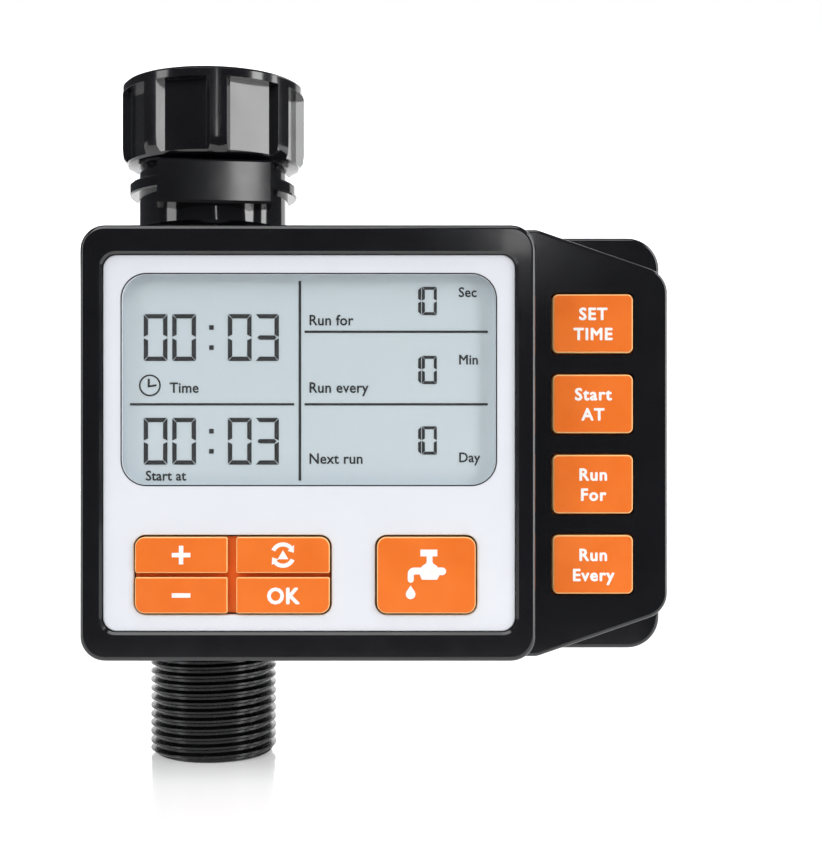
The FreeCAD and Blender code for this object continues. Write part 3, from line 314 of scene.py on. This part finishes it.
FINISHES = {
    "shell": gloss_black(),
    "face": satin_white(),
    "lens": clear_window(),
    "display": liquid_crystal(),
    "print": printed("display_ink", (0.006, 0.006, 0.007), (0.012, 0.012, 0.013), 0.4),
    # The last colour given to each silicone is its painted rim highlight.
    "key": silicone("orange_silicone", (0.81, 0.158, 0.011), (0.87, 0.186, 0.018), (1.0, 0.58, 0.22)),
    # The web is the keys' silicone with its own deeper orange, but its base colours are set brighter to
    # make up for the shade between the keys: painted light.
    "key_rubber": silicone("orange_silicone_web_painted_light", (1.0, 0.16, 0.012), (1.0, 0.185, 0.018),
                           (0.95, 0.22, 0.04)),
    "key_mark": printed("white_key_ink", (0.9, 0.89, 0.86), (0.97, 0.96, 0.94), 0.45),
    "seal": rubber("seal_rubber", (0.012, 0.012, 0.012), (0.03, 0.03, 0.03)),
    "steel": metal("bright_steel", (0.5, 0.51, 0.53), (0.68, 0.69, 0.71), 0.28),
    "ball_steel": metal("polished_ball", (0.66, 0.67, 0.69), (0.76, 0.77, 0.79), 0.1),
    "brass": metal("turned_brass", (0.68, 0.47, 0.18), (0.83, 0.61, 0.28), 0.26, stretch=(6, 1, 1)),
    "white_plastic": moulded("natural_acetal", (0.78, 0.78, 0.75), (0.86, 0.86, 0.84)),
    "valve_plastic": moulded("dark_grey_plastic", (0.05, 0.05, 0.055), (0.075, 0.075, 0.08)),
    "board": circuit_board(),
    "chip": moulded("black_component", (0.015, 0.015, 0.017), (0.028, 0.028, 0.03), 0.5),
    "ribbon": striped_ribbon(),
    "cell": wrapped_cell(),
}


def coat(piece, finish):
    piece.data.materials.clear()
    piece.data.materials.append(finish)
    piece.data.polygons.foreach_set("material_index", [0] * len(piece.data.polygons))


def finish_cad_nodes():
    """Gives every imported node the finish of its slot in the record."""
    for row in frame["record"]["subparts"]:
        coat(nodes[row["node"]], FINISHES[row["material_slot"]])
    inner_black = gloss_black("display_frame_black", 0.00001)
    coat(nodes["display_frame"], inner_black)


# ---------------------------------------------------------------- modelling helpers

def select_only(*pieces):
    bpy.ops.object.select_all(action="DESELECT")
    for piece in pieces:
        piece.select_set(True)
    bpy.context.view_layer.objects.active = pieces[0]


def settle(piece):
    """Moves the piece's place into its mesh."""
    select_only(piece)
    bpy.ops.object.transform_apply(location=True, rotation=True, scale=True)
    return piece


def mount(piece, name, body, slot, *replaced):
    """Names a finished piece, coats it and ties it to the body that carries it."""
    settle(piece)
    piece.name = name
    piece.data.name = name
    coat(piece, FINISHES[slot])
    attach(piece, body)
    if replaced:
        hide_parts(*replaced)
    return piece


def merge(pieces):
    select_only(*pieces)
    bpy.ops.object.join()
    return bpy.context.object


def use_modifier(piece, name, kind, **settings):
    select_only(piece)
    modifier = piece.modifiers.new(name, kind)
    for setting, value in settings.items():
        setattr(modifier, setting, value)
    bpy.ops.object.modifier_apply(modifier=name)


def combine(piece, tool, operation):
    """Boolean of two closed shapes; the tool is used up."""
    use_modifier(piece, "combine", "BOOLEAN", operation=operation, object=tool, solver="EXACT")
    bpy.data.objects.remove(tool)


def smooth(piece, angle=30):
    select_only(piece)
    bpy.ops.object.shade_smooth_by_angle(angle=angle * DEGREE)


def vertex_chain(points):
    """An open run of edges through the points, drawn by extruding one vertex."""
    bpy.ops.object.select_all(action="DESELECT")
    bpy.ops.mesh.primitive_plane_add(size=MM, location=(0, 0, 0))
    bpy.ops.object.mode_set(mode="EDIT")
    bpy.ops.mesh.merge(type="CENTER")
    bpy.ops.transform.translate(value=points[0])
    for start, end in zip(points, points[1:]):
        step = Vector(end) - Vector(start)
        bpy.ops.mesh.extrude_region_move(TRANSFORM_OT_translate={"value": step})
    bpy.ops.object.mode_set(mode="OBJECT")
    return bpy.context.object


def lathe(profile, steps=96):
    """A closed turned solid from (radius, z) corners that start and end on the axis."""
    piece = vertex_chain([(radius, 0, z) for radius, z in profile])
    use_modifier(piece, "turn", "SCREW", angle=2 * math.pi, steps=steps, render_steps=steps,
                 use_merge_vertices=True, merge_threshold=0.00001)
    select_only(piece)
    bpy.ops.object.mode_set(mode="EDIT")
    bpy.ops.mesh.select_all(action="SELECT")
    bpy.ops.mesh.remove_doubles(threshold=FINE)
    bpy.ops.mesh.normals_make_consistent(inside=False)
    bpy.ops.object.mode_set(mode="OBJECT")
    return piece


# ---------------------------------------------------------------- flat shapes and lettering

PRINT_THICK = 0.06 * MM
PRINT_STEP = 0.002 * MM
CAP_HEIGHT = 0.729
BOLD_STEPS = [(math.cos(45 * DEGREE * turn), math.sin(45 * DEGREE * turn)) for turn in range(8)]


def flat_shape(loops, front):
    """A thin upright plate facing -Y from closed loops of (x, z), its front at y = front."""
    outline = bpy.data.curves.new("outline", "CURVE")
    outline.dimensions = "2D"
    outline.fill_mode = "BOTH"
    outline.extrude = PRINT_THICK / 2
    for loop in loops:
        spline = outline.splines.new("POLY")
        spline.points.add(len(loop) - 1)
        for point, (x, z) in zip(spline.points, loop):
            point.co = (x, z, 0, 1)
        spline.use_cyclic_u = True
    piece = bpy.data.objects.new("outline", outline)
    scene.collection.objects.link(piece)
    select_only(piece)
    bpy.ops.object.convert(target="MESH")
    piece = bpy.context.object
    piece.rotation_euler = (90 * DEGREE, 0, 0)
    piece.location = (0, front + PRINT_THICK / 2, 0)
    return settle(piece)


def lettering(words, height, x, z, front, align="LEFT", weight=0.0, width=1.0, spacing=1.0):
    """Raised letters facing -Y with their baseline at z; height is that of a capital.

    Copies set a little to every side, each a hair behind the last, thicken the strokes by weight.
    """
    bpy.ops.object.select_all(action="DESELECT")
    bpy.ops.object.text_add(location=(x, front + PRINT_THICK / 2, z), rotation=(90 * DEGREE, 0, 0))
    label = bpy.context.object
    label.data.body = words
    label.data.align_x = align
    label.data.size = height / CAP_HEIGHT
    label.data.extrude = PRINT_THICK / 2
    label.data.resolution_u = 3
    label.data.space_character = spacing
    bpy.ops.object.convert(target="MESH")
    label = bpy.context.object
    label.scale.x = width
    settle(label)
    layers = [label]
    for number, (aside, above) in enumerate(BOLD_STEPS, start=1):
        layer = label.copy()
        layer.data = label.data.copy()
        scene.collection.objects.link(layer)
        layer.location = (aside * weight, number * PRINT_STEP, above * weight)
        layers.append(settle(layer))
    return merge(layers)


def arc(x, z, radius, start, end, steps=16):
    """Points on a circle from start to end degrees, counter-clockwise from +X."""
    points = []
    for step in range(steps + 1):
        angle = (start + (end - start) * step / steps) * DEGREE
        points.append((x + radius * math.cos(angle), z + radius * math.sin(angle)))
    return points


def bar(left, right, low, high):
    return [(left, low), (right, low), (right, high), (left, high)]


def rounded(left, right, low, high, radius):
    return (arc(right - radius, high - radius, radius, 0, 90)
            + arc(left + radius, high - radius, radius, 90, 180)
            + arc(left + radius, low + radius, radius, 180, 270)
            + arc(right - radius, low + radius, radius, 270, 360))


# ---------------------------------------------------------------- display

LIT = {"0": "abcdef", "1": "bc", "3": "abcdg"}


def segments(digit, x, middle, wide, tall, thick):
    """Loops of a seven-segment digit whose left side is at x."""
    gap = 0.16 * thick
    left, right = x, x + wide
    low, high = middle - tall / 2, middle + tall / 2
    half = thick / 2
    shapes = {
        "a": [(left + gap, high), (right - gap, high), (right - thick, high - thick),
              (left + thick, high - thick)],
        "d": [(left + thick, low + thick), (right - thick, low + thick), (right - gap, low),
              (left + gap, low)],
        "g": [(left + half, middle), (left + thick, middle + half), (right - thick, middle + half),
              (right - half, middle), (right - thick, middle - half), (left + thick, middle - half)],
    }
    for name, edge, inner in (("b", right, right - thick), ("f", left, left + thick)):
        shapes[name] = [(edge, high - gap), (edge, middle + gap), (inner, middle + half + gap),
                        (inner, high - thick - gap)]
    for name, edge, inner in (("c", right, right - thick), ("e", left, left + thick)):
        shapes[name] = [(edge, low + gap), (edge, middle - gap), (inner, middle - half - gap),
                        (inner, low + thick + gap)]
    return [shapes[name] for name in LIT[digit]]


def make_display_print():
    """Black digits, rules, words and the clock sign on the display glass, and a dark line round the window
    that is painted shade for the gap round the lens.
    """
    glass_low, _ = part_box("display_glass")
    low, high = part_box("display_lens")
    front = glass_low.y - PRINT_THICK
    left, bottom = low.x, low.z

    def across(mm):
        return left + mm * MM

    def up(mm):
        return bottom + mm * MM

    big = (4.6 * MM, 9.1 * MM, 0.84 * MM)
    small = (2.9 * MM, 5.5 * MM, 0.58 * MM)
    loops = []
    for row in (28.6, 8.45):
        for digit, place in zip("0003", (3.95, 9.5, 20.3, 25.6)):
            loops += segments(digit, across(place), up(row), *big)
        for dot in (-1.95, 1.95):
            loops.append(bar(across(16.65), across(17.55), up(row + dot - 0.45), up(row + dot + 0.45)))
    for row in (35.7, 22.3, 8.6):
        loops += segments("1", across(54.95), up(row), *small)
        loops += segments("0", across(58.0), up(row), *small)
    mount(flat_shape(loops, front), "display_digits", "casing", "print")

    rules = [
        bar(across(34.05), across(34.55), up(0.8), up(39.6)),
        bar(across(1.25), across(33.2), up(15.4), up(15.85)),
        bar(across(35.2), across(70.8), up(15.4), up(15.85)),
        bar(across(35.2), across(70.8), up(29.5), up(29.95)),
    ]
    mount(flat_shape(rules, front), "display_rules", "casing", "print")

    centre_x, centre_z = across(5.15), up(19.3)
    clock = [
        arc(centre_x, centre_z, 2.12 * MM, 0, 350, 35),
        arc(centre_x, centre_z, 1.82 * MM, 0, 350, 35),
        [(centre_x - 0.42 * MM, centre_z + 1.3 * MM), (centre_x - 0.42 * MM, centre_z - 0.42 * MM),
         (centre_x + 1.3 * MM, centre_z - 0.12 * MM), (centre_x + 1.26 * MM, centre_z + 0.22 * MM),
         (centre_x - 0.02 * MM, centre_z + 0.02 * MM), (centre_x - 0.02 * MM, centre_z + 1.3 * MM)],
    ]
    mount(flat_shape(clock, front), "display_clock", "casing", "print")

    words = [
        ("Time", 2.05, 9.0, 17.9), ("Start at", 1.95, 4.3, 0.85), ("Run for", 2.1, 36.0, 31.0),
        ("Run every", 2.1, 36.0, 17.9), ("Next run", 2.1, 36.0, 4.1), ("Sec", 1.95, 65.1, 36.5),
        ("Min", 1.95, 65.1, 23.4), ("Day", 1.95, 65.1, 4.4),
    ]
    labels = [lettering(text, tall * MM, across(x), up(z), front, weight=0.05 * MM, width=0.95,
                        spacing=1.03)
              for text, tall, x, z in words]
    mount(merge(labels), "display_words", "casing", "print")

    # Painted shade: a dark ink band round the lens, where the shadow of the gap round it falls.
    line = 0.22 * MM
    corner = 4.8 * MM
    painted_rim = [rounded(low.x - line, high.x + line, low.z - line, high.z + line, corner + line),
           rounded(low.x, high.x, low.z, high.z, corner)]
    mount(flat_shape(painted_rim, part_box("face_panel")[0].y - PRINT_THICK / 2), "window_painted_shade_line", "casing", "print")


# ---------------------------------------------------------------- key signs

def key_centre(key):
    low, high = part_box(key)
    return (low.x + high.x) / 2, (low.z + high.z) / 2, low.y - PRINT_THICK / 2


def curved_arrow(x, z, radius, thick, start, end):
    """A band along a circle with an arrowhead at its far end."""
    outer, inner = radius + thick / 2, radius - thick / 2
    turn = 1 if end > start else -1
    tip = (end + turn * 30) * DEGREE
    wide = thick * 1.05
    head = [
        (x + (radius + wide) * math.cos(end * DEGREE), z + (radius + wide) * math.sin(end * DEGREE)),
        (x + (radius + thick * 0.1) * math.cos(tip), z + (radius + thick * 0.1) * math.sin(tip)),
        (x + (radius - wide) * math.cos(end * DEGREE), z + (radius - wide) * math.sin(end * DEGREE)),
    ]
    return arc(x, z, outer, start, end) + head + arc(x, z, inner, end, start)


def tap_loops(x, z):
    """A tap seen from the side with a drop under its spout, about its key's centre."""
    def at(across, up):
        return x + across * MM, z + up * MM

    def bend(across, up, radius, start, end):
        return arc(*at(across, up), radius * MM, start, end, 8)

    tap = [at(-1.15, 4.95), at(-1.15, 3.64), at(0.05, 3.64), at(0.05, 2.6)]
    tap += bend(0.6, 0.35, 2.0, 112, 145)
    tap += [at(-2.35, 1.5)]
    tap += bend(-2.35, 0.25, 1.25, 95, 180)
    tap += bend(-3.02, -0.85, 0.58, 180, 360)
    tap += bend(-2.19, -0.08, 0.25, 180, 90)
    tap += [at(-1.32, 0.17), at(-0.85, -0.85), at(2.05, -0.85), at(2.5, 0.03)]
    tap += bend(3.05, 0.77, 0.74, -90, 90)
    tap += [at(2.35, 1.51)]
    tap += bend(0.6, 0.35, 2.0, 35, 68)
    tap += [at(1.17, 2.6), at(1.17, 3.64), at(2.1, 3.64), at(2.1, 4.95)]
    drop = [at(-3.04, -1.95)] + bend(-3.04, -3.65, 0.95, 150, 390)
    return [tap, drop]


def make_key_signs():
    x, z, front = key_centre("plus_key")
    arm, half = 1.8 * MM, 0.43 * MM
    plus = [(x - half, z + arm), (x - half, z + half), (x - arm, z + half), (x - arm, z - half),
            (x - half, z - half), (x - half, z - arm), (x + half, z - arm), (x + half, z - half),
            (x + arm, z - half), (x + arm, z + half), (x + half, z + half), (x + half, z + arm)]
    mount(flat_shape([plus], front), "plus_sign", "plus_key", "key_mark")

    x, z, front = key_centre("minus_key")
    mount(flat_shape([bar(x - arm, x + arm, z - half, z + half)], front), "minus_sign", "minus_key",
          "key_mark")

    x, z, front = key_centre("cycle_key")
    radius, thick = 2.05 * MM, 0.8 * MM
    peak = [(x - 1.05 * MM, z - 0.8 * MM), (x + 1.05 * MM, z - 0.8 * MM), (x, z + 0.95 * MM)]
    cycle = [curved_arrow(x, z, radius, thick, 155, 42), curved_arrow(x, z, radius, thick, -25, -138),
             peak]
    mount(flat_shape(cycle, front), "cycle_sign", "cycle_key", "key_mark")

    x, z, front = key_centre("ok_key")
    tall = 3.1 * MM
    mount(lettering("OK", tall, x, z - tall / 2, front, "CENTER", 0.16 * MM, 0.95, 1.1), "ok_sign",
          "ok_key", "key_mark")

    x, z, front = key_centre("tap_key")
    mount(flat_shape(tap_loops(x, z), front), "tap_sign", "tap_key", "key_mark")

    for key, upper, lower in (("set_time_key", "SET", "TIME"), ("start_key", "Start", "AT"),
                              ("run_for_key", "Run", "For"), ("run_every_key", "Run", "Every")):
        x, z, front = key_centre(key)
        tall, line = 2.4 * MM, 3.95 * MM
        rows = [lettering(word, tall, x, z + shift - tall / 2, front, "CENTER", 0.11 * MM, 1.0, 1.12)
                for word, shift in ((upper, line / 2), (lower, -line / 2))]
        mount(merge(rows), key.replace("_key", "_words"), key, "key_mark")


# ---------------------------------------------------------------- outlet thread, nut and neck

# Radii and lengths of the outlet spigot, from its open end upwards.
THREAD_PITCH = 1.814 * MM
THREAD_CREST = 13.22 * MM
THREAD_ROOT = 12.06 * MM
THREAD_LONG = 23.0 * MM
THREAD_TURNS = 15
STEPS_A_TURN = 72
SHANK_RADIUS = 12.95 * MM
BORE_RADIUS = 8.0 * MM
COLLAR_RADIUS, COLLAR_LOW, COLLAR_HIGH = 13.75 * MM, 26 * MM, 29.3 * MM
PLUG_RADIUS = 11 * MM
GROOVE_RADIUS, GROOVE_LOW, GROOVE_HIGH = 10 * MM, 34.4 * MM, 36.4 * MM

# One turn's section: share of the pitch, radius.
THREAD_SECTION = ((0.0, THREAD_ROOT), (0.14, THREAD_ROOT), (0.41, THREAD_CREST), (0.63, THREAD_CREST),
                  (0.90, THREAD_ROOT), (1.0, THREAD_ROOT))


def wound_thread(end, runout):
    """A solid helical thread, cut flat at both ends."""
    start = end - 1.5 * THREAD_PITCH
    helix = vertex_chain([(radius, 0, start + THREAD_PITCH * share) for share, radius in THREAD_SECTION])
    use_modifier(helix, "wind", "SCREW", angle=2 * math.pi * THREAD_TURNS,
                 screw_offset=THREAD_PITCH * THREAD_TURNS, steps=STEPS_A_TURN * THREAD_TURNS,
                 render_steps=STEPS_A_TURN * THREAD_TURNS, use_merge_vertices=True,
                 merge_threshold=0.00001)
    select_only(helix)
    bpy.ops.object.mode_set(mode="EDIT")
    bpy.ops.mesh.select_all(action="SELECT")
    bpy.ops.mesh.remove_doubles(threshold=FINE)
    bpy.ops.mesh.bisect(plane_co=(0, 0, end), plane_no=(0, 0, 1), use_fill=True, clear_inner=True)
    bpy.ops.mesh.select_all(action="SELECT")
    bpy.ops.mesh.bisect(plane_co=(0, 0, runout), plane_no=(0, 0, 1), use_fill=True, clear_outer=True)
    bpy.ops.mesh.select_all(action="SELECT")
    bpy.ops.mesh.normals_make_consistent(inside=False)
    bpy.ops.object.mode_set(mode="OBJECT")
    return helix


def make_outlet_thread():
    """The outlet spigot with a true helical pipe thread."""
    low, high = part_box("outlet_spigot")
    end = low.z
    runout = end + THREAD_LONG
    spigot = wound_thread(end, runout)

    # The ends of the thread fade into a lead-in and a run-out.
    envelope = lathe([(0, end - MM), (THREAD_ROOT - 0.9 * MM, end - MM), (THREAD_ROOT - 0.3 * MM, end),
                      (THREAD_CREST, end + 1.1 * MM), (THREAD_CREST + MM, end + 1.1 * MM),
                      (THREAD_CREST + MM, runout - 0.4 * MM), (THREAD_ROOT, runout + 0.8 * MM),
                      (0, runout + 0.8 * MM)])
    combine(spigot, envelope, "INTERSECT")
    upper = lathe([(0, runout - 0.6 * MM), (THREAD_ROOT - 0.2 * MM, runout - 0.6 * MM),
                   (SHANK_RADIUS, runout + 0.2 * MM), (SHANK_RADIUS, end + COLLAR_LOW),
                   (COLLAR_RADIUS, end + COLLAR_LOW), (COLLAR_RADIUS, end + COLLAR_HIGH),
                   (PLUG_RADIUS, end + COLLAR_HIGH), (PLUG_RADIUS, end + GROOVE_LOW),
                   (GROOVE_RADIUS, end + GROOVE_LOW), (GROOVE_RADIUS, end + GROOVE_HIGH),
                   (PLUG_RADIUS, end + GROOVE_HIGH), (PLUG_RADIUS, high.z), (0, high.z)])
    combine(spigot, upper, "UNION")
    hole = lathe([(0, end - MM), (BORE_RADIUS + 1.4 * MM, end - MM), (BORE_RADIUS, end + 0.4 * MM),
                  (BORE_RADIUS, high.z + MM), (0, high.z + MM)], 64)
    combine(spigot, hole, "DIFFERENCE")
    smooth(spigot, 26)
    mount(spigot, "outlet_thread", "casing", "shell", "outlet_spigot")
    coat(spigot, thread_black())


def softened(node, width, name):
    """A copy of a CAD node with its sharp edges rounded as a mould leaves them."""
    piece = bpy.data.objects.new(name, nodes[node].data.copy())
    scene.collection.objects.link(piece)
    select_only(piece)
    bpy.ops.object.mode_set(mode="EDIT")
    bpy.ops.mesh.select_all(action="SELECT")
    bpy.ops.mesh.remove_doubles(threshold=0.000002)
    bpy.ops.mesh.dissolve_limited(angle_limit=0.4 * DEGREE)
    bpy.ops.object.mode_set(mode="OBJECT")
    use_modifier(piece, "soften", "BEVEL", width=width, segments=3, limit_method="ANGLE",
                 angle_limit=28 * DEGREE, use_clamp_overlap=True, harden_normals=False)
    smooth(piece, 32)
    use_modifier(piece, "flatten", "WEIGHTED_NORMAL", keep_sharp=True)
    return mount(piece, name, frame_body(node), slot_of(node), node)


def frame_body(node):
    for body, members in frame["record"]["behaviour"]["bodies"].items():
        if node in members:
            return body
    raise ValueError(node)


def slot_of(node):
    return next(row["material_slot"] for row in frame["record"]["subparts"] if row["node"] == node)


def make_soft_edges():
    softened("inlet_nut", 0.3 * MM, "grip_nut")
    neck = softened("inlet_spigot", 0.22 * MM, "inlet_neck")
    coat(neck, gloss_black("neck_black_plastic", 0.000001, 0.08))


# ---------------------------------------------------------------- battery contacts

def contact_plate(x, y, z, size, thick):
    """A square contact plate with rounded edges."""
    bpy.ops.object.select_all(action="DESELECT")
    bpy.ops.mesh.primitive_cube_add(size=1, location=(x, y, z))
    plate = bpy.context.object
    plate.scale = (size, size, thick)
    settle(plate)
    use_modifier(plate, "round_corners", "BEVEL", width=0.14 * MM, segments=2)
    return plate


def coil_spring(x, y, low_z, high_z, radius, wire, turns):
    """A round-wire spring between two heights."""
    bpy.ops.object.select_all(action="DESELECT")
    bpy.ops.mesh.primitive_circle_add(vertices=12, radius=wire, location=(radius, 0, low_z + wire),
                                      rotation=(90 * DEGREE, 0, 0))
    coil = settle(bpy.context.object)
    use_modifier(coil, "wind", "SCREW", angle=2 * math.pi * turns,
                 screw_offset=(high_z - low_z - 2 * wire), steps=32 * turns, render_steps=32 * turns)
    select_only(coil)
    bpy.ops.object.mode_set(mode="EDIT")
    bpy.ops.mesh.select_all(action="SELECT")
    bpy.ops.mesh.remove_doubles(threshold=0.000002)
    bpy.ops.mesh.fill_holes(sides=0)
    bpy.ops.mesh.select_all(action="SELECT")
    bpy.ops.mesh.normals_make_consistent(inside=False)
    bpy.ops.object.mode_set(mode="OBJECT")
    coil.location = (x, y, 0)
    return settle(coil)


def contact_button(x, y, base_z, tip_z):
    """A pressed button with a rounded rim that meets a cell's tip."""
    rise = tip_z - base_z
    button = lathe([(0, base_z), (1.6 * MM, base_z), (1.6 * MM, base_z + rise * 0.75),
                    (1.35 * MM, tip_z), (0, tip_z)], 32)
    button.location = (x, y, 0)
    return settle(button)


def make_battery_contacts():
    """Plates at both ends of the two cells: a spring where a cell is flat, a button at its tip."""
    low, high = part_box("battery_contacts")
    cell_low, cell_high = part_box("battery_cells")
    size, thick = 8.0 * MM, 0.4 * MM
    y = (low.y + high.y) / 2
    parts = []
    for x, tip_up in ((low.x + size / 2, True), (high.x - size / 2, False)):
        for top in (True, False):
            wall, inward = (high.z, -thick) if top else (low.z, thick)
            cell_end = cell_high.z if top else cell_low.z
            parts.append(contact_plate(x, y, wall + inward / 2, size, thick))
            base = wall + inward
            if top == tip_up:
                parts.append(contact_button(x, y, base - inward / 4, cell_end - inward / 8))
            else:
                parts.append(coil_spring(x, y, min(base, cell_end), max(base, cell_end), 2.7 * MM,
                                         0.28 * MM, 3))
    springs = merge(parts)
    smooth(springs, 35)
    mount(springs, "contact_springs", "casing", "steel", "battery_contacts")


# ---------------------------------------------------------------- studio

# Each light: name, degrees round from the front towards the right, height over the middle,
# distance, width, height of its face, watts.
SOFT_LIGHTS = (
    ("right_softbox", 60, 0.2, 0.8, 0.2, 0.9, 4.2),
    ("side_strip", 88, 0.2, 0.8, 0.14, 0.9, 2.4),
    ("left_softbox", -62, 0.14, 0.8, 0.22, 0.8, 2.0),
    ("top_softbox", -15, 0.85, 0.35, 0.9, 0.5, 3.8),
    ("front_fill", -20, 0.85, 1.1, 0.9, 0.5, 5.5),
    ("neck_strip", 7.8, 0.30, 1.2, 0.03, 0.2, 0.12),
    ("back_softbox", 165, 0.5, 0.9, 1.2, 0.8, 3.5),
)

STUDIO_RADIUS = 1.6
STUDIO_FRONT = -0.16

# Each curved wall: name, radius, height, how far back it starts.
PAPER_WALLS = (
    ("studio_low_wall", STUDIO_RADIUS, 0.3, STUDIO_FRONT),
    ("studio_backdrop", STUDIO_RADIUS - 0.02, 0.6, 1.38),
)


def stage_paper(name, finish, front):
    """Trims the sheet just made at y = front and stages it."""
    sheet = settle(bpy.context.object)
    bpy.ops.object.mode_set(mode="EDIT")
    bpy.ops.mesh.select_all(action="SELECT")
    bpy.ops.mesh.bisect(plane_co=(0, front, 0), plane_no=(0, 1, 0), clear_inner=True)
    bpy.ops.object.mode_set(mode="OBJECT")
    sheet.name = name
    coat(sheet, finish)


def make_paper_studio():
    """Pale floor and white walls curving round behind it."""
    centre = Vector((CASE_X, 0, cad_box[0].z))
    bpy.ops.object.select_all(action="DESELECT")
    bpy.ops.mesh.primitive_circle_add(vertices=96, radius=STUDIO_RADIUS, fill_type="NGON",
                                      location=centre)
    stage_paper("studio_floor", studio_paper("floor_paper", 0.3, 0.1), STUDIO_FRONT)
    wall_paper = studio_paper("wall_paper", 1.0, 0.6)
    for name, radius, height, front in PAPER_WALLS:
        bpy.ops.object.select_all(action="DESELECT")
        bpy.ops.mesh.primitive_cylinder_add(vertices=96, radius=radius, depth=height,
                                            end_fill_type="NOTHING",
                                            location=centre + Vector((0, 0, height / 2)))
        stage_paper(name, wall_paper, front)


def make_surround():
    """White where the camera looks past the paper, dim in reflections."""
    world = bpy.data.worlds.new("studio_surround")
    scene.world = world
    world.use_nodes = True
    tree = world.node_tree
    background = tree.nodes["Background"]
    rays = tree.nodes.new("ShaderNodeLightPath")
    mix = tree.nodes.new("ShaderNodeMix")
    mix.data_type = "RGBA"
    tree.links.new(rays.outputs["Is Camera Ray"], mix.inputs["Factor"])
    mix.inputs["A"].default_value = (0.07, 0.073, 0.078, 1)
    mix.inputs["B"].default_value = (1, 1, 1, 1)
    tree.links.new(mix.outputs["Result"], background.inputs["Color"])


def make_soft_lights():
    middle = Vector((CASE_X, 0, CASE_Z))
    for name, azimuth, height, distance, wide, tall, power in SOFT_LIGHTS:
        place = middle + Vector((distance * math.sin(azimuth * DEGREE),
                                 -distance * math.cos(azimuth * DEGREE), height))
        light = bpy.data.lights.new(name, "AREA")
        light.shape = "RECTANGLE"
        light.size = wide
        light.size_y = tall
        light.energy = power
        lamp = bpy.data.objects.new(name, light)
        lamp.location = place
        lamp.rotation_euler = (middle - place).to_track_quat("-Z", "Y").to_euler()
        scene.collection.objects.link(lamp)


def make_camera():
    lens = bpy.data.cameras.new("front_camera")
    lens.lens = 56.9
    lens.shift_x = 0.06
    lens.shift_y = 0.02
    lens.clip_start = 0.01
    camera = bpy.data.objects.new("front_camera", lens)
    camera.location = (0.0311, -0.287, CASE_Z)
    camera.rotation_euler = (90 * DEGREE, 0, 0)
    scene.collection.objects.link(camera)
    scene.camera = camera
    scene.view_settings.view_transform = "Standard"


make_camera()
finish_cad_nodes()
make_display_print()
make_key_signs()
make_outlet_thread()
make_soft_edges()
make_battery_contacts()
make_paper_studio()
make_surround()
make_soft_lights()
